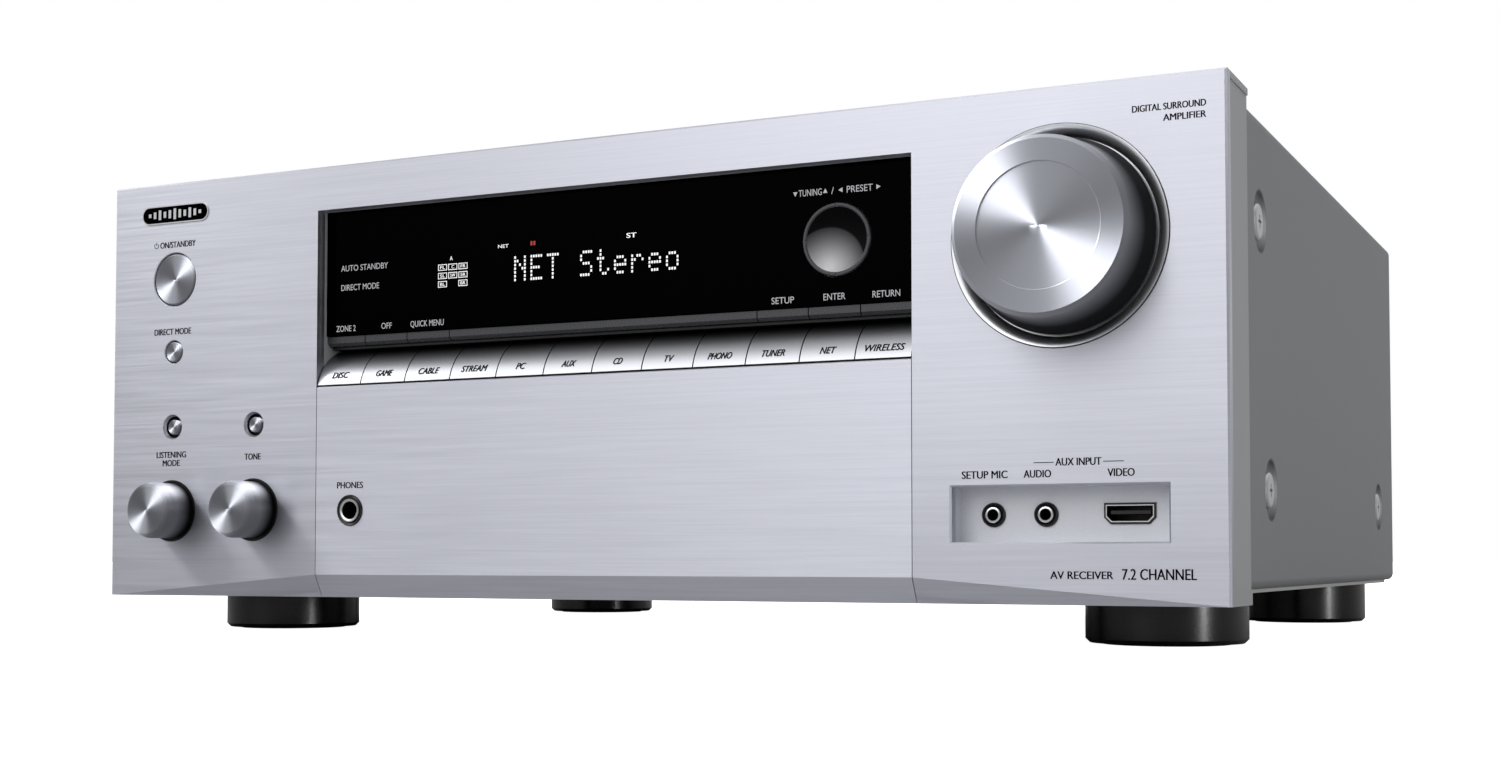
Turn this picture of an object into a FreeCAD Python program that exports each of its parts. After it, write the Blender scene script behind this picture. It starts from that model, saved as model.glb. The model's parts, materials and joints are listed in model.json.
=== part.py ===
"""A home audio receiver: silver front plate, steel case, keys, knobs, sockets and boards.

Row frame: +X to the right seen from the front, +Y towards the back, +Z up, floor at Z = 0.
The origin is the middle of the bottom of the whole object's box.  Depths are measured from
the front plate's face towards the back, heights from the floor, all in millimetres.
"""
import FreeCAD
import Part
import math
import os

V = FreeCAD.Vector

# ---- driving dimensions -------------------------------------------------------------
WIDTH = 435.0              # front plate, side to side
HEIGHT = 173.5             # floor to the top of the front plate
KNOB_OUT = 21.0            # volume knob, in front of the plate's face
BODY_DEEP = 348.0          # plate's face to the cover's back edge
TERMINAL_OUT = 9.0         # speaker terminals, behind the cover's back edge
PANEL_LOW = 14.0           # bottom edge of the front plate
PLATE = 4.2                # front plate thickness
BEZEL_BACK = 30.0          # depth of the bezel's back edge
SHEET = 1.2                # steel sheet thickness
COVER_HALF = 216.6         # half width of the top cover
COVER_TOP = 170.1
COVER_LOW = 18.5
HEM = 3.0                  # the cover's sides curl in at the bottom by this radius
GAP = 0.2                  # assembly gap between neighbouring pieces

FACE_Y = KNOB_OUT - (KNOB_OUT + BODY_DEEP + TERMINAL_OUT) / 2
HALF = WIDTH / 2

# window, keys and strip
WINDOW_HALF = 117.75
WINDOW_LOW = PANEL_LOW + 77.7
WINDOW_TOP = PANEL_LOW + 143.2
GLASS_FRONT = 5.5          # depth of the display window's face
GLASS = 2.2                # its thickness
GLASS_LOW = PANEL_LOW + 96.8
STRIP_TOP = GLASS_LOW - 0.3
STRIP_LOW = STRIP_TOP - 3.5
STRIP_FRONT = 6.0
KEY_RADIUS = 20.0          # rounded front of the selector keys
KEY_AXIS_DEPTH = 19.5
KEY_AXIS_HEIGHT = WINDOW_LOW - 5.0
KEY_LOW = WINDOW_LOW + 0.5
KEY_TOP = WINDOW_LOW + 14.1
KEY_COUNT = 12
KEY_GAP = 0.45
KEY_BACK = 17.0
STEM_END = 20.6            # depth where every button stem ends
SWITCH_FRONT = 21.6        # depth of the tact switches' faces
BOARD_FRONT = 23.0
BOARD = 1.6                # circuit board thickness
STRIP_EDGES = (-117.45, -100.3, -81.5, -62.9, 60.4, 79.1, 97.7, 117.45)
STRIP_FILLER = 3           # the fourth span of the strip is fixed, the others are keys
STRIP_BACK = 16.0
FILLER_POST_X = (-50.0, 48.0)

# cursor pad
PAD_R = 12.0               # outside of the notched ring
DISC_R = 10.7
PAD_FRONT = 4.6
PAD_BACK = 7.4
GIMBAL_DEPTH = 10.6        # both tilt axes lie at this depth
GIMBAL_R = 6.6
PIN_R = 0.7
PIN_HOLE_R = 0.75
SEAT_R = (7.3, 9.0)        # the fixed ring that carries the gimbal
CUP_R = 14.2

# round controls: X, height
POWER_AT = (-186.7, PANEL_LOW + 121.9)
DIRECT_AT = (-186.8, PANEL_LOW + 93.8)
MODE_BUTTON_AT = (-187.0, PANEL_LOW + 64.8)
TONE_BUTTON_AT = (-147.2, PANEL_LOW + 64.6)
MODE_KNOB_AT = (-187.0, PANEL_LOW + 32.5)
TONE_KNOB_AT = (-147.2, PANEL_LOW + 32.5)
VOLUME_AT = (165.7, PANEL_LOW + 113.1)
CURSOR_AT = (89.7, PANEL_LOW + 118.2)
PHONES_AT = (-102.0, PANEL_LOW + 31.8)
MIC_AT = (141.6, PANEL_LOW + 27.9)
AUX_AT = (158.7, PANEL_LOW + 27.9)
FRONT_PORT_AT = (185.1, PANEL_LOW + 28.0)

POWER_R = 10.3             # hole radii in the plate
DIRECT_R = 4.35
SMALL_R = 4.8              # mouth of the dished recess round a small button
SMALL_THROAT_R = 3.2
RING_R = 11.8              # black ring at the base of a small knob
DISH_R = 34.65             # dish round the volume knob
DISH_PROUD = 0.6           # its rim stands this far in front of the plate
DISH_FLARE = 3.6           # the rim rolls inwards by this radius
DISH_FLOOR = 3.2
VOLUME_FOOT_R = 30.3       # the volume knob's side flares out to this radius
VOLUME_FACE_R = 26.1
VOLUME_STEP = (19.1, 19.35)    # the turned step in its face
BUTTON_BACK = 6.5          # round buttons are this thick behind the plate's face
KNOB_R = 10.6
BUTTON_GAP = 0.5           # ring gap round the power and direct buttons
SHAFT_R = 3.0
SHAFT_END = 20.0
BORE_R = 3.05              # encoder bore, a running fit on the shaft
STEM_R = 1.6
PHONES_R = 5.7             # outside of the headphone socket

# input recess in the right of the plate
TRAY_X = (130.7, 199.2)
TRAY_Z = (PANEL_LOW + 19.3, PANEL_LOW + 36.5)
TRAY_DEEP = 9.3

# case
FOOT_R = 26.6
FOOT_X = 181.9
FOOT_DEPTHS = (66.5, 317.0)
FLOOR_LOW = 17.3           # underside of the chassis floor
FLOOR_TOP = FLOOR_LOW + SHEET
CHASSIS_HALF = 213.2
CHASSIS_FRONT = 31.0
REAR_FACE = 346.8          # outer face of the rear panel
DIMPLES = ((52.3, PANEL_LOW + 121.8), (66.2, PANEL_LOW + 36.3), (306.0, PANEL_LOW + 36.5))
DIMPLE_R = 10.5
DIMPLE_DEEP = 2.4
SCREW_R = 1.9
SCREW_HOLE_R = 2.2
SCREW_HEAD_R = 3.9
HEAD_TALL = 1.9
SIDE_HEAD_R = 6.0          # truss-head screws in the side dimples
SIDE_HEAD_TALL = 1.5
COVER_SCREW_X = (-190.0, 0.0, 190.0)
COVER_SCREW_Z = COVER_TOP - 5.5
PANEL_SCREWS = ((-204.0, 26.0), (204.0, 26.0), (-120.0, 60.0), (-138.0, 150.0), (-36.0, 110.0),
                (204.0, 86.0))
AMP_BOARD_LOW = 27.0
AMP_POST_X = (-80.0, 60.0, 198.0)
AMP_POST_DEPTHS = (66.0, 138.0)
VENT = 3.4                 # width of every vent slot in the cover and the floor
VENT_PITCH = 9.0
FLOOR_VENTS = 22

# rear connectors
TERMINAL_PITCH = 28.0
TERMINAL_X = tuple(180.0 - TERMINAL_PITCH * i for i in range(7))
TERMINAL_Z = (66.0, 42.0)  # red row, black row
TERMINAL_END = BODY_DEEP + TERMINAL_OUT
TERMINAL_BASE = (31.0, 77.0)   # lower and upper edge of the moulded base
TERMINAL_SPLIT = 54.8      # top of the rib between the two rows of cells
CELL_FLOOR = 341.4         # the posts stand on this face, each in its own open cell
CELL_RIB = 1.6
POST_R = 3.4
BANANA_R = 2.0
RCA_X = tuple(190.0 - 19.0 * i for i in range(8)) + (22.0, 3.0, -16.0)
RCA_Z = (120.0, 101.0)
RCA_R = 4.15
RCA_END = 355.5
PORT_X = tuple(146.0 - 27.0 * i for i in range(6))
PORT_Z = 152.0
LAN_AT = (182.0, 151.0)
ANTENNA_AT = (-62.0, 150.0)
INLET_AT = (-178.0, 48.0)


# ---- helpers ------------------------------------------------------------------------
def y(depth):
    return FACE_Y + depth


def block(x0, x1, d0, d1, z0, z1):
    """A box from its X limits, depths and heights."""
    return Part.makeBox(x1 - x0, d1 - d0, z1 - z0, V(x0, y(d0), z0))


def rod(at, radius, d0, d1):
    """A cylinder along the depth."""
    return Part.makeCylinder(radius, d1 - d0, V(at[0], y(d0), at[1]), V(0, 1, 0))


def cross_rod(x0, x1, depth, z, radius):
    """A cylinder along X."""
    return Part.makeCylinder(radius, x1 - x0, V(x0, y(depth), z), V(1, 0, 0))


def post(x, depth, radius, z0, z1):
    """A cylinder along Z."""
    return Part.makeCylinder(radius, z1 - z0, V(x, y(depth), z0), V(0, 0, 1))


def turned(at, outline):
    """A body of revolution about the depth axis; outline is a list of (radius, depth)."""
    points = [V(at[0] + r, y(d), at[1]) for r, d in outline]
    face = Part.Face(Part.makePolygon(points + points[:1]))
    return face.revolve(V(at[0], y(0), at[1]), V(0, 1, 0), 360)


def turned_wire(at, edges):
    """The same from a list of edges that already lie in the plane z = at[1]."""
    face = Part.Face(Part.Wire(edges))
    return face.revolve(V(at[0], y(0), at[1]), V(0, 1, 0), 360)


def prism_x(x0, x1, outline):
    """A prism along X; outline is a list of (depth, height)."""
    points = [V(x0, y(d), z) for d, z in outline]
    face = Part.Face(Part.makePolygon(points + points[:1]))
    return face.extrude(V(x1 - x0, 0, 0))


def prism_y(d0, d1, outline):
    """A prism along the depth; outline is a list of (x, height)."""
    points = [V(x, y(d0), z) for x, z in outline]
    face = Part.Face(Part.makePolygon(points + points[:1]))
    return face.extrude(V(0, d1 - d0, 0))


def top_edge_cut(size):
    """Cutter for the small bevel along the plate's top front edge."""
    outline = [(-1, HEIGHT + 1), (-1, HEIGHT - size), (0, HEIGHT - size), (size, HEIGHT), (size, HEIGHT + 1)]
    return prism_x(-HALF - 1, HALF + 1, outline)


def mirrored(shape):
    """The same piece on the other side of the middle plane."""
    return shape.mirror(V(0, 0, 0), V(1, 0, 0))


def union(shapes):
    first, rest = shapes[0], shapes[1:]
    return first.fuse(rest).removeSplitter() if rest else first


def group(shapes):
    """Separate solids kept together in one node."""
    solids = []
    for shape in shapes:
        solids.extend(shape.Solids)
    return Part.makeCompound(solids)


# ---- front plate --------------------------------------------------------------------
def bevel_wedge(side):
    """The bevel under the plate, full at the centre seam and gone at the outer corner."""
    seam = side * WINDOW_HALF
    corner = side * (HALF + 0.01)
    a = V(seam, y(0), PANEL_LOW + 8.3)
    b = V(seam, y(PLATE), PANEL_LOW)
    c = V(corner, y(0), PANEL_LOW)
    a2, b2, c2 = (p + V(0, -6, -6) for p in (a, b, c))
    faces = [
        Part.Face(Part.makePolygon([a, b, c, a])),
        Part.Face(Part.makePolygon([a2, c2, b2, a2])),
        Part.Face(Part.makePolygon([a, a2, b2, b, a])),
        Part.Face(Part.makePolygon([b, b2, c2, c, b])),
        Part.Face(Part.makePolygon([c, c2, a2, a, c])),
    ]
    return Part.makeSolid(Part.makeShell(faces))


def plate_holes(front, back, slack=0.0):
    """Cutters for every round control, shared by the plate and the bezel behind it."""
    sizes = (
        (POWER_AT, POWER_R), (DIRECT_AT, DIRECT_R), (MODE_BUTTON_AT, SMALL_THROAT_R),
        (TONE_BUTTON_AT, SMALL_THROAT_R), (MODE_KNOB_AT, RING_R), (TONE_KNOB_AT, RING_R),
        (VOLUME_AT, DISH_R),
    )
    return [rod(at, radius + slack, front, back) for at, radius in sizes]


def front_plate():
    edge, seat = 0.7, 0.35
    body = block(-HALF, HALF, 0, PLATE, PANEL_LOW, HEIGHT)
    upright = [e for e in body.Edges if e.BoundBox.ZLength > 1 and e.BoundBox.YMax < y(0.01)]
    body = body.makeChamfer(edge, upright)
    cuts = [top_edge_cut(edge)]
    cuts.append(block(-WINDOW_HALF, WINDOW_HALF, -1, PLATE + 1, PANEL_LOW - 1, WINDOW_TOP))
    cuts.extend(plate_holes(-1, PLATE + 1, 0.05))
    for at in (MODE_BUTTON_AT, TONE_BUTTON_AT):
        cuts.append(turned(at, [(0, -0.01), (SMALL_R, -0.01), (SMALL_R - 0.5, 1.0),
                                (SMALL_THROAT_R + 0.3, 2.2), (0, 2.2)]))
    for at, radius in ((POWER_AT, POWER_R), (DIRECT_AT, DIRECT_R)):
        cuts.append(turned(at, [(0, -0.01), (radius + seat, -0.01), (radius, seat), (0, seat)]))
    cuts.append(block(*TRAY_X, -1, PLATE + 1, *TRAY_Z))
    cuts.append(tapered_mouth(TRAY_X, TRAY_Z, 0.6))
    cuts.extend([bevel_wedge(1), bevel_wedge(-1)])
    return body.cut(cuts)


def tapered_mouth(xs, zs, lip):
    """A four-sided bevel round a rectangular opening in the plate's face."""
    outer = [V(x, y(-0.01), z) for x, z in ((xs[0] - lip, zs[0] - lip), (xs[1] + lip, zs[0] - lip),
                                            (xs[1] + lip, zs[1] + lip), (xs[0] - lip, zs[1] + lip))]
    inner = [V(x, y(lip), z) for x, z in ((xs[0], zs[0]), (xs[1], zs[0]), (xs[1], zs[1]), (xs[0], zs[1]))]
    loops = [Part.makePolygon(p + p[:1]) for p in (outer, inner)]
    return Part.makeLoft(loops, True, True)


def centre_panel():
    half = WINDOW_HALF - 0.25
    top = WINDOW_LOW - 0.2
    outline = [(0.3, top), (0, top - 0.3), (0, PANEL_LOW + 8.3), (PLATE, PANEL_LOW), (PLATE, top)]
    body = prism_x(-half, half, outline)
    return body.cut(rod(PHONES_AT, PHONES_R + 0.05, -1, PLATE + 1))


def front_bezel():
    """Moulded frame behind the plate, with the walls of the window and a cup for the cursor."""
    top_lip, low_lip, step, wall, shroud = 2.1, 4.0, 0.4, 3.0, 2.2
    front_wall, web_back, cup_floor = PLATE + 3.5, 9.2, 12.7
    web_x = 60.2
    body = block(-HALF, HALF, PLATE, BEZEL_BACK, PANEL_LOW, HEIGHT)
    for x in (-HALF, HALF - step):
        body = body.cut(block(x, x + step, PLATE, BEZEL_BACK, PANEL_LOW + low_lip, HEIGHT - top_lip))
    inside = HALF - wall - step
    body = body.cut(block(-inside, inside, front_wall, BEZEL_BACK + 1, PANEL_LOW + wall, HEIGHT - wall))
    frame = block(-WINDOW_HALF - shroud, WINDOW_HALF + shroud, front_wall, 18.0,
                  WINDOW_LOW - shroud, WINDOW_TOP + shroud)
    body = body.fuse(frame).cut(block(-WINDOW_HALF, WINDOW_HALF, 0, 19.0, WINDOW_LOW, WINDOW_TOP))
    web = block(web_x, WINDOW_HALF, front_wall, web_back, GLASS_LOW, WINDOW_TOP)
    body = body.fuse([web, rod(CURSOR_AT, CUP_R, front_wall, 14.0)])
    body = body.cut(rod(CURSOR_AT, PAD_R + 0.6, 7.0, cup_floor)).fuse(cursor_seat())
    holes = plate_holes(0, front_wall + 1, 0.15)
    margin = 1.4
    holes.append(block(TRAY_X[0] - margin, TRAY_X[1] + margin, 0, front_wall + 1,
                       TRAY_Z[0] - margin, TRAY_Z[1] + margin))
    holes.append(rod(PHONES_AT, PHONES_R + 0.05, 0, front_wall + 1))
    return body.cut(holes).removeSplitter()


def cursor_seat():
    """The fixed ring that the gimbal's pins turn in."""
    x, z = CURSOR_AT
    inner, outer = SEAT_R
    ring = rod(CURSOR_AT, outer, 8.8, 13.0).cut(rod(CURSOR_AT, inner, 8.0, 13.0))
    return ring.cut(cross_rod(x - outer - 0.5, x + outer + 0.5, GIMBAL_DEPTH, z, PIN_HOLE_R))


# ---- window, strip and keys ---------------------------------------------------------
def display_window():
    half, low, top = WINDOW_HALF - 0.1, GLASS_LOW, WINDOW_TOP - 0.1
    body = block(-half, half, GLASS_FRONT, GLASS_FRONT + GLASS, low, top)
    return body.cut(rod(CURSOR_AT, PAD_R + 0.5, 0, 20))


def strip_bar(x0, x1):
    """A bar of the dark strip below the window, its lower edge cut back."""
    outline = [(STRIP_FRONT, STRIP_TOP), (STRIP_FRONT, STRIP_LOW + 1.1),
               (STRIP_FRONT + 1.0, STRIP_LOW), (STRIP_BACK, STRIP_LOW), (STRIP_BACK, STRIP_TOP)]
    return prism_x(x0 + GAP, x1 - GAP, outline)


def strip_stem(x, half, back, inset=0.5):
    return block(x - half, x + half, STRIP_BACK - inset, back, STRIP_LOW + inset, STRIP_TOP - inset)


def strip_pieces():
    spans = list(zip(STRIP_EDGES, STRIP_EDGES[1:]))
    filler = spans.pop(STRIP_FILLER)
    posts = [strip_stem(x, 3.0, BOARD_FRONT) for x in FILLER_POST_X]
    pieces = {"key_strip": strip_bar(*filler).fuse(posts)}
    for i, (x0, x1) in enumerate(spans):
        stem = strip_stem((x0 + x1) / 2, 2.0, STEM_END)
        pieces["display_key_%d" % (i + 1)] = strip_bar(x0, x1).fuse(stem)
    return pieces


def key_pitch():
    return 2 * (WINDOW_HALF - 0.2) / KEY_COUNT


def selector_key(x0, x1):
    """A key with a rounded front: flush at its lower edge and set back at its top."""
    def depth_at(z):
        return KEY_AXIS_DEPTH - math.sqrt(KEY_RADIUS ** 2 - (z - KEY_AXIS_HEIGHT) ** 2)

    def front(z):
        return V(x0, y(depth_at(z)), z)

    arc = Part.Arc(front(KEY_LOW), front((KEY_LOW + KEY_TOP) / 2), front(KEY_TOP)).toShape()
    back_top, back_low = V(x0, y(KEY_BACK), KEY_TOP), V(x0, y(KEY_BACK), KEY_LOW)
    edges = [arc, Part.makeLine(front(KEY_TOP), back_top), Part.makeLine(back_top, back_low),
             Part.makeLine(back_low, front(KEY_LOW))]
    body = Part.Face(Part.Wire(edges)).extrude(V(x1 - x0, 0, 0))
    middle = (x0 + x1) / 2
    return body.fuse(block(middle - 3, middle + 3, KEY_BACK - 0.5, STEM_END, KEY_LOW + 3, KEY_LOW + 8))


def selector_keys():
    keys = {}
    for i in range(KEY_COUNT):
        x0 = -WINDOW_HALF + 0.2 + i * key_pitch()
        keys["selector_key_%02d" % (i + 1)] = selector_key(x0 + KEY_GAP / 2, x0 + key_pitch() - KEY_GAP / 2)
    return keys


# ---- cursor pad ---------------------------------------------------------------------
def cursor_ring():
    low = PAD_FRONT + 0.3
    ring = turned(CURSOR_AT, [(DISC_R, low), (DISC_R + 0.4, PAD_FRONT), (PAD_R - 0.3, PAD_FRONT),
                              (PAD_R, low), (PAD_R, PAD_BACK), (DISC_R, PAD_BACK)])
    x, z = CURSOR_AT
    notches = []
    for quarter in range(4):
        notch = block(x - 0.35, x + 0.35, 4.0, low, z + DISC_R - 0.7, z + PAD_R + 1)
        notch.rotate(V(x, 0, z), V(0, 1, 0), 90 * quarter)
        notches.append(notch)
    return ring.cut(notches)


def cursor_disc():
    """Dished thumb disc with a stem; the stem's two upright pins turn in the gimbal."""
    x, z = CURSOR_AT
    ball_r, hollow = 55.0, 6.1
    ball = Part.makeSphere(ball_r, V(x, y(hollow - ball_r), z))
    body = rod(CURSOR_AT, DISC_R, PAD_FRONT + 0.4, PAD_BACK).cut(ball)
    stem = rod(CURSOR_AT, 3.2, PAD_BACK - 0.4, GIMBAL_DEPTH + 1.2)
    pin = post(x, GIMBAL_DEPTH, PIN_R, z - GIMBAL_R + 0.5, z + GIMBAL_R - 0.5)
    return body.fuse([stem, pin])


def cursor_gimbal():
    x, z = CURSOR_AT
    half, inner, pin_end = 1.4, 4.6, 8.6
    ring = rod(CURSOR_AT, GIMBAL_R, GIMBAL_DEPTH - half, GIMBAL_DEPTH + half)
    ring = ring.cut(rod(CURSOR_AT, inner, 0, 20))
    pins = [cross_rod(x + inner + 0.4, x + pin_end, GIMBAL_DEPTH, z, PIN_R),
            cross_rod(x - pin_end, x - inner - 0.4, GIMBAL_DEPTH, z, PIN_R)]
    return ring.fuse(pins).cut(post(x, GIMBAL_DEPTH, PIN_HOLE_R, z - GIMBAL_R - 1, z + GIMBAL_R + 1))


# ---- buttons and knobs --------------------------------------------------------------
def power_button():
    r = POWER_R - BUTTON_GAP
    outline = [(0, 0.75), (r - 0.45, 0.0), (r, 0.35), (r, BUTTON_BACK), (STEM_R + 1, BUTTON_BACK),
               (STEM_R, BUTTON_BACK + 1.5), (STEM_R, STEM_END), (0, STEM_END)]
    return turned(POWER_AT, outline)


def direct_button():
    r = DIRECT_R - BUTTON_GAP
    outline = [(0, 0.3), (r - 0.4, -0.1), (r, 0.3), (r, BUTTON_BACK), (STEM_R, BUTTON_BACK),
               (STEM_R, STEM_END), (0, STEM_END)]
    return turned(DIRECT_AT, outline)


def small_button(at):
    r = SMALL_THROAT_R - 0.35
    outline = [(0, 0.9), (r - 0.4, 0.6), (r, 1.0), (r, BUTTON_BACK), (STEM_R, BUTTON_BACK),
               (STEM_R, STEM_END), (0, STEM_END)]
    return turned(at, outline)


def small_knob(at):
    outline = [(0, -13.3), (KNOB_R - 1.7, -13.5), (KNOB_R - 0.7, -12.9), (KNOB_R, -10.8), (KNOB_R, -0.8),
               (SHAFT_R, -0.8), (SHAFT_R, SHAFT_END), (0, SHAFT_END)]
    return turned(at, outline)


def knob_ring(at):
    return turned(at, [(4.0, 0.4), (10.9, 0.4), (11.2, -0.2), (RING_R, -0.2), (RING_R, 6.6), (4.0, 6.6)])


def volume_knob():
    """Flared knob with a stepped, turned face."""
    x, z = VOLUME_AT

    def at(radius, depth):
        return V(x + radius, y(depth), z)

    edge, floor = VOLUME_FACE_R + 1.3, 0.6
    inner, outer = VOLUME_STEP
    flare = Part.Arc(at(edge, -19.6), at(edge + 0.9, -9.0), at(VOLUME_FOOT_R, floor)).toShape()
    corners = [at(VOLUME_FOOT_R, floor), at(SHAFT_R, floor), at(SHAFT_R, SHAFT_END), at(0, SHAFT_END),
               at(0, -20.5), at(inner, -20.8), at(outer, -KNOB_OUT), at(VOLUME_FACE_R, -20.95),
               at(edge, -19.6)]
    edges = [flare] + [Part.makeLine(a, b) for a, b in zip(corners, corners[1:])]
    return turned_wire(VOLUME_AT, edges)


def volume_dish():
    """Polished dish that the knob sits in: its rim rolls inwards to a flat floor."""
    x, z = VOLUME_AT

    def at(radius, depth):
        return V(x + radius, y(depth), z)

    rim = DISH_R - 0.35
    throat = rim - DISH_FLARE
    turn = DISH_FLARE * (1 - math.sqrt(0.5))
    drop = (DISH_FLOOR + DISH_PROUD) * (1 - math.sqrt(0.5))
    middle = at(throat + turn, drop - DISH_PROUD)
    roll = Part.Arc(at(rim, -DISH_PROUD), middle, at(throat, DISH_FLOOR)).toShape()
    bore, back = 4.5, 6.6
    corners = [at(throat, DISH_FLOOR), at(bore, DISH_FLOOR), at(bore, back), at(DISH_R, back),
               at(DISH_R, 0.35 - DISH_PROUD), at(rim, -DISH_PROUD)]
    edges = [roll] + [Part.makeLine(a, b) for a, b in zip(corners, corners[1:])]
    return turned_wire(VOLUME_AT, edges)


def encoder(at):
    bushing = turned(at, [(BORE_R, 9.0), (3.7, 9.0), (3.7, 15.0), (7.0, 15.0), (7.0, 22.4),
                          (BORE_R, 22.4)])
    return bushing.fuse(rod(at, 7.0, 22.0, 22.9))


# ---- front sockets ------------------------------------------------------------------
def phones_jack():
    outline = [(3.2, -0.2), (4.3, -0.2), (4.5, 0.1), (5.4, -0.5), (PHONES_R, -0.2), (PHONES_R, 32.0),
               (3.2, 32.0)]
    barrel = turned(PHONES_AT, outline)
    x, z = PHONES_AT
    house = block(x - 7.5, x + 7.5, 24.8, 42.0, z - 7, z + 7).cut(rod(PHONES_AT, PHONES_R, 20, 32.0))
    return barrel.fuse(house)


def mini_jack(at):
    outline = [(1.8, 8.9), (2.5, 8.9), (2.7, 9.1), (3.4, 8.2), (3.8, 8.6), (3.8, 22.0), (1.8, 22.0)]
    barrel = turned(at, outline)
    return barrel.fuse(rod(at, 3.8, 21.5, 22.8))


def port_outline(at, width, height, corner):
    """A video socket's outline: a rectangle with its two lower corners cut off."""
    x, z = at
    half, up = width / 2, height / 2
    return [(x - half, z + up), (x + half, z + up), (x + half, z - up + corner),
            (x + half - corner, z - up), (x - half + corner, z - up), (x - half, z - up + corner)]


def video_port(at, front, back):
    """A video socket that opens towards the lower of the two depths' side given first."""
    low, high = min(front, back), max(front, back)
    shell = prism_y(low, high, port_outline(at, 16.0, 6.4, 2.0))
    step = 1.2 if front < back else -1.2
    inside = sorted((front - step, back - step))
    shell = shell.cut(prism_y(*inside, port_outline(at, 14.6, 5.0, 1.5)))
    tongue = sorted((front + step, back - step * 0.5))
    x, z = at
    return shell.fuse(block(x - 6.2, x + 6.2, *tongue, z - 0.2, z + 0.9))


def input_tray():
    wall, back = 1.2, TRAY_DEEP + 1.5
    outer = block(TRAY_X[0] - wall, TRAY_X[1] + wall, PLATE, back, TRAY_Z[0] - wall, TRAY_Z[1] + wall)
    inner = block(*TRAY_X, 0, TRAY_DEEP, *TRAY_Z)
    holes = [rod(MIC_AT, 3.9, 5, 12), rod(AUX_AT, 3.9, 5, 12),
             prism_y(5, 12, port_outline(FRONT_PORT_AT, 16.2, 6.6, 2.0))]
    return outer.cut([inner] + holes)


# ---- boards and display behind the front --------------------------------------------
def switch_spots():
    spots = [POWER_AT, DIRECT_AT, MODE_BUTTON_AT, TONE_BUTTON_AT]
    for i in range(KEY_COUNT):
        spots.append((-WINDOW_HALF + 0.2 + (i + 0.5) * key_pitch(), KEY_LOW + 5.5))
    spans = list(zip(STRIP_EDGES, STRIP_EDGES[1:]))
    del spans[STRIP_FILLER]
    spots.extend(((x0 + x1) / 2, (STRIP_LOW + STRIP_TOP) / 2) for x0, x1 in spans)
    return spots


def front_board():
    board = block(-206, 206, BOARD_FRONT, BOARD_FRONT + BOARD, PANEL_LOW + 6, HEIGHT - 6)
    board = board.cut(block(PHONES_AT[0] - 8, PHONES_AT[0] + 8, 20, 30, PHONES_AT[1] - 8, PHONES_AT[1] + 8))
    switches = [block(x - 3, x + 3, SWITCH_FRONT, BOARD_FRONT, z - 2.4, z + 2.4) for x, z in switch_spots()]
    return board.fuse(switches)


def display_tube():
    body = block(-84, 44, 9.5, 15.5, GLASS_LOW + 6, WINDOW_TOP - 8)
    legs = [block(-80 + 8 * i, -79.2 + 8 * i, 15.0, BOARD_FRONT, GLASS_LOW + 8, GLASS_LOW + 8.8)
            for i in range(16)]
    return body.fuse(legs)


# ---- case ---------------------------------------------------------------------------
def folded_section(half, low, top, folds, d0, d1):
    """A block with its long edges rounded: folds holds the lower and the upper radius."""
    body = block(-half, half, d0, d1, low, top)
    for z, fold in zip((low, top), folds):
        long_edges = [e for e in body.Edges if abs(e.CenterOfMass.z - z) < 0.01
                      and abs(abs(e.CenterOfMass.x) - half) < 0.01]
        body = body.makeFillet(fold, long_edges)
    return body


def slot(x, d0, d1, z0, z1):
    """A vent slot with round ends, through a flat sheet."""
    r = VENT / 2
    middle = block(x - r, x + r, d0 + r, d1 - r, z0, z1)
    ends = [post(x, d, r, z0, z1) for d in (d0 + r, d1 - r)]
    return middle.fuse(ends)


def vent_slots():
    """Rows of slots in the cover's top, each row 32 long and 40 behind the one in front."""
    rows = [(d0, -70.0, 30) for d0 in (118.0, 158.0, 198.0, 238.0, 278.0)]
    rows.extend((d0, -188.0, 9) for d0 in (60.0, 100.0, 140.0))
    return [slot(x0 + VENT_PITCH * i, d0, d0 + 32.0, COVER_TOP - 4, COVER_TOP + 2)
            for d0, x0, count in rows for i in range(count)]


def dimple_ball_r():
    return (DIMPLE_R ** 2 + DIMPLE_DEEP ** 2) / (2 * DIMPLE_DEEP)


def dimple_cut(depth, z):
    """The dished hollow in the right side sheet, and the screw hole in its middle."""
    ball_r = dimple_ball_r()
    ball = Part.makeSphere(ball_r, V(COVER_HALF + ball_r - DIMPLE_DEEP, y(depth), z))
    return ball.fuse(cross_rod(COVER_HALF - 6, COVER_HALF + 1, depth, z, SCREW_HOLE_R))


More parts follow.
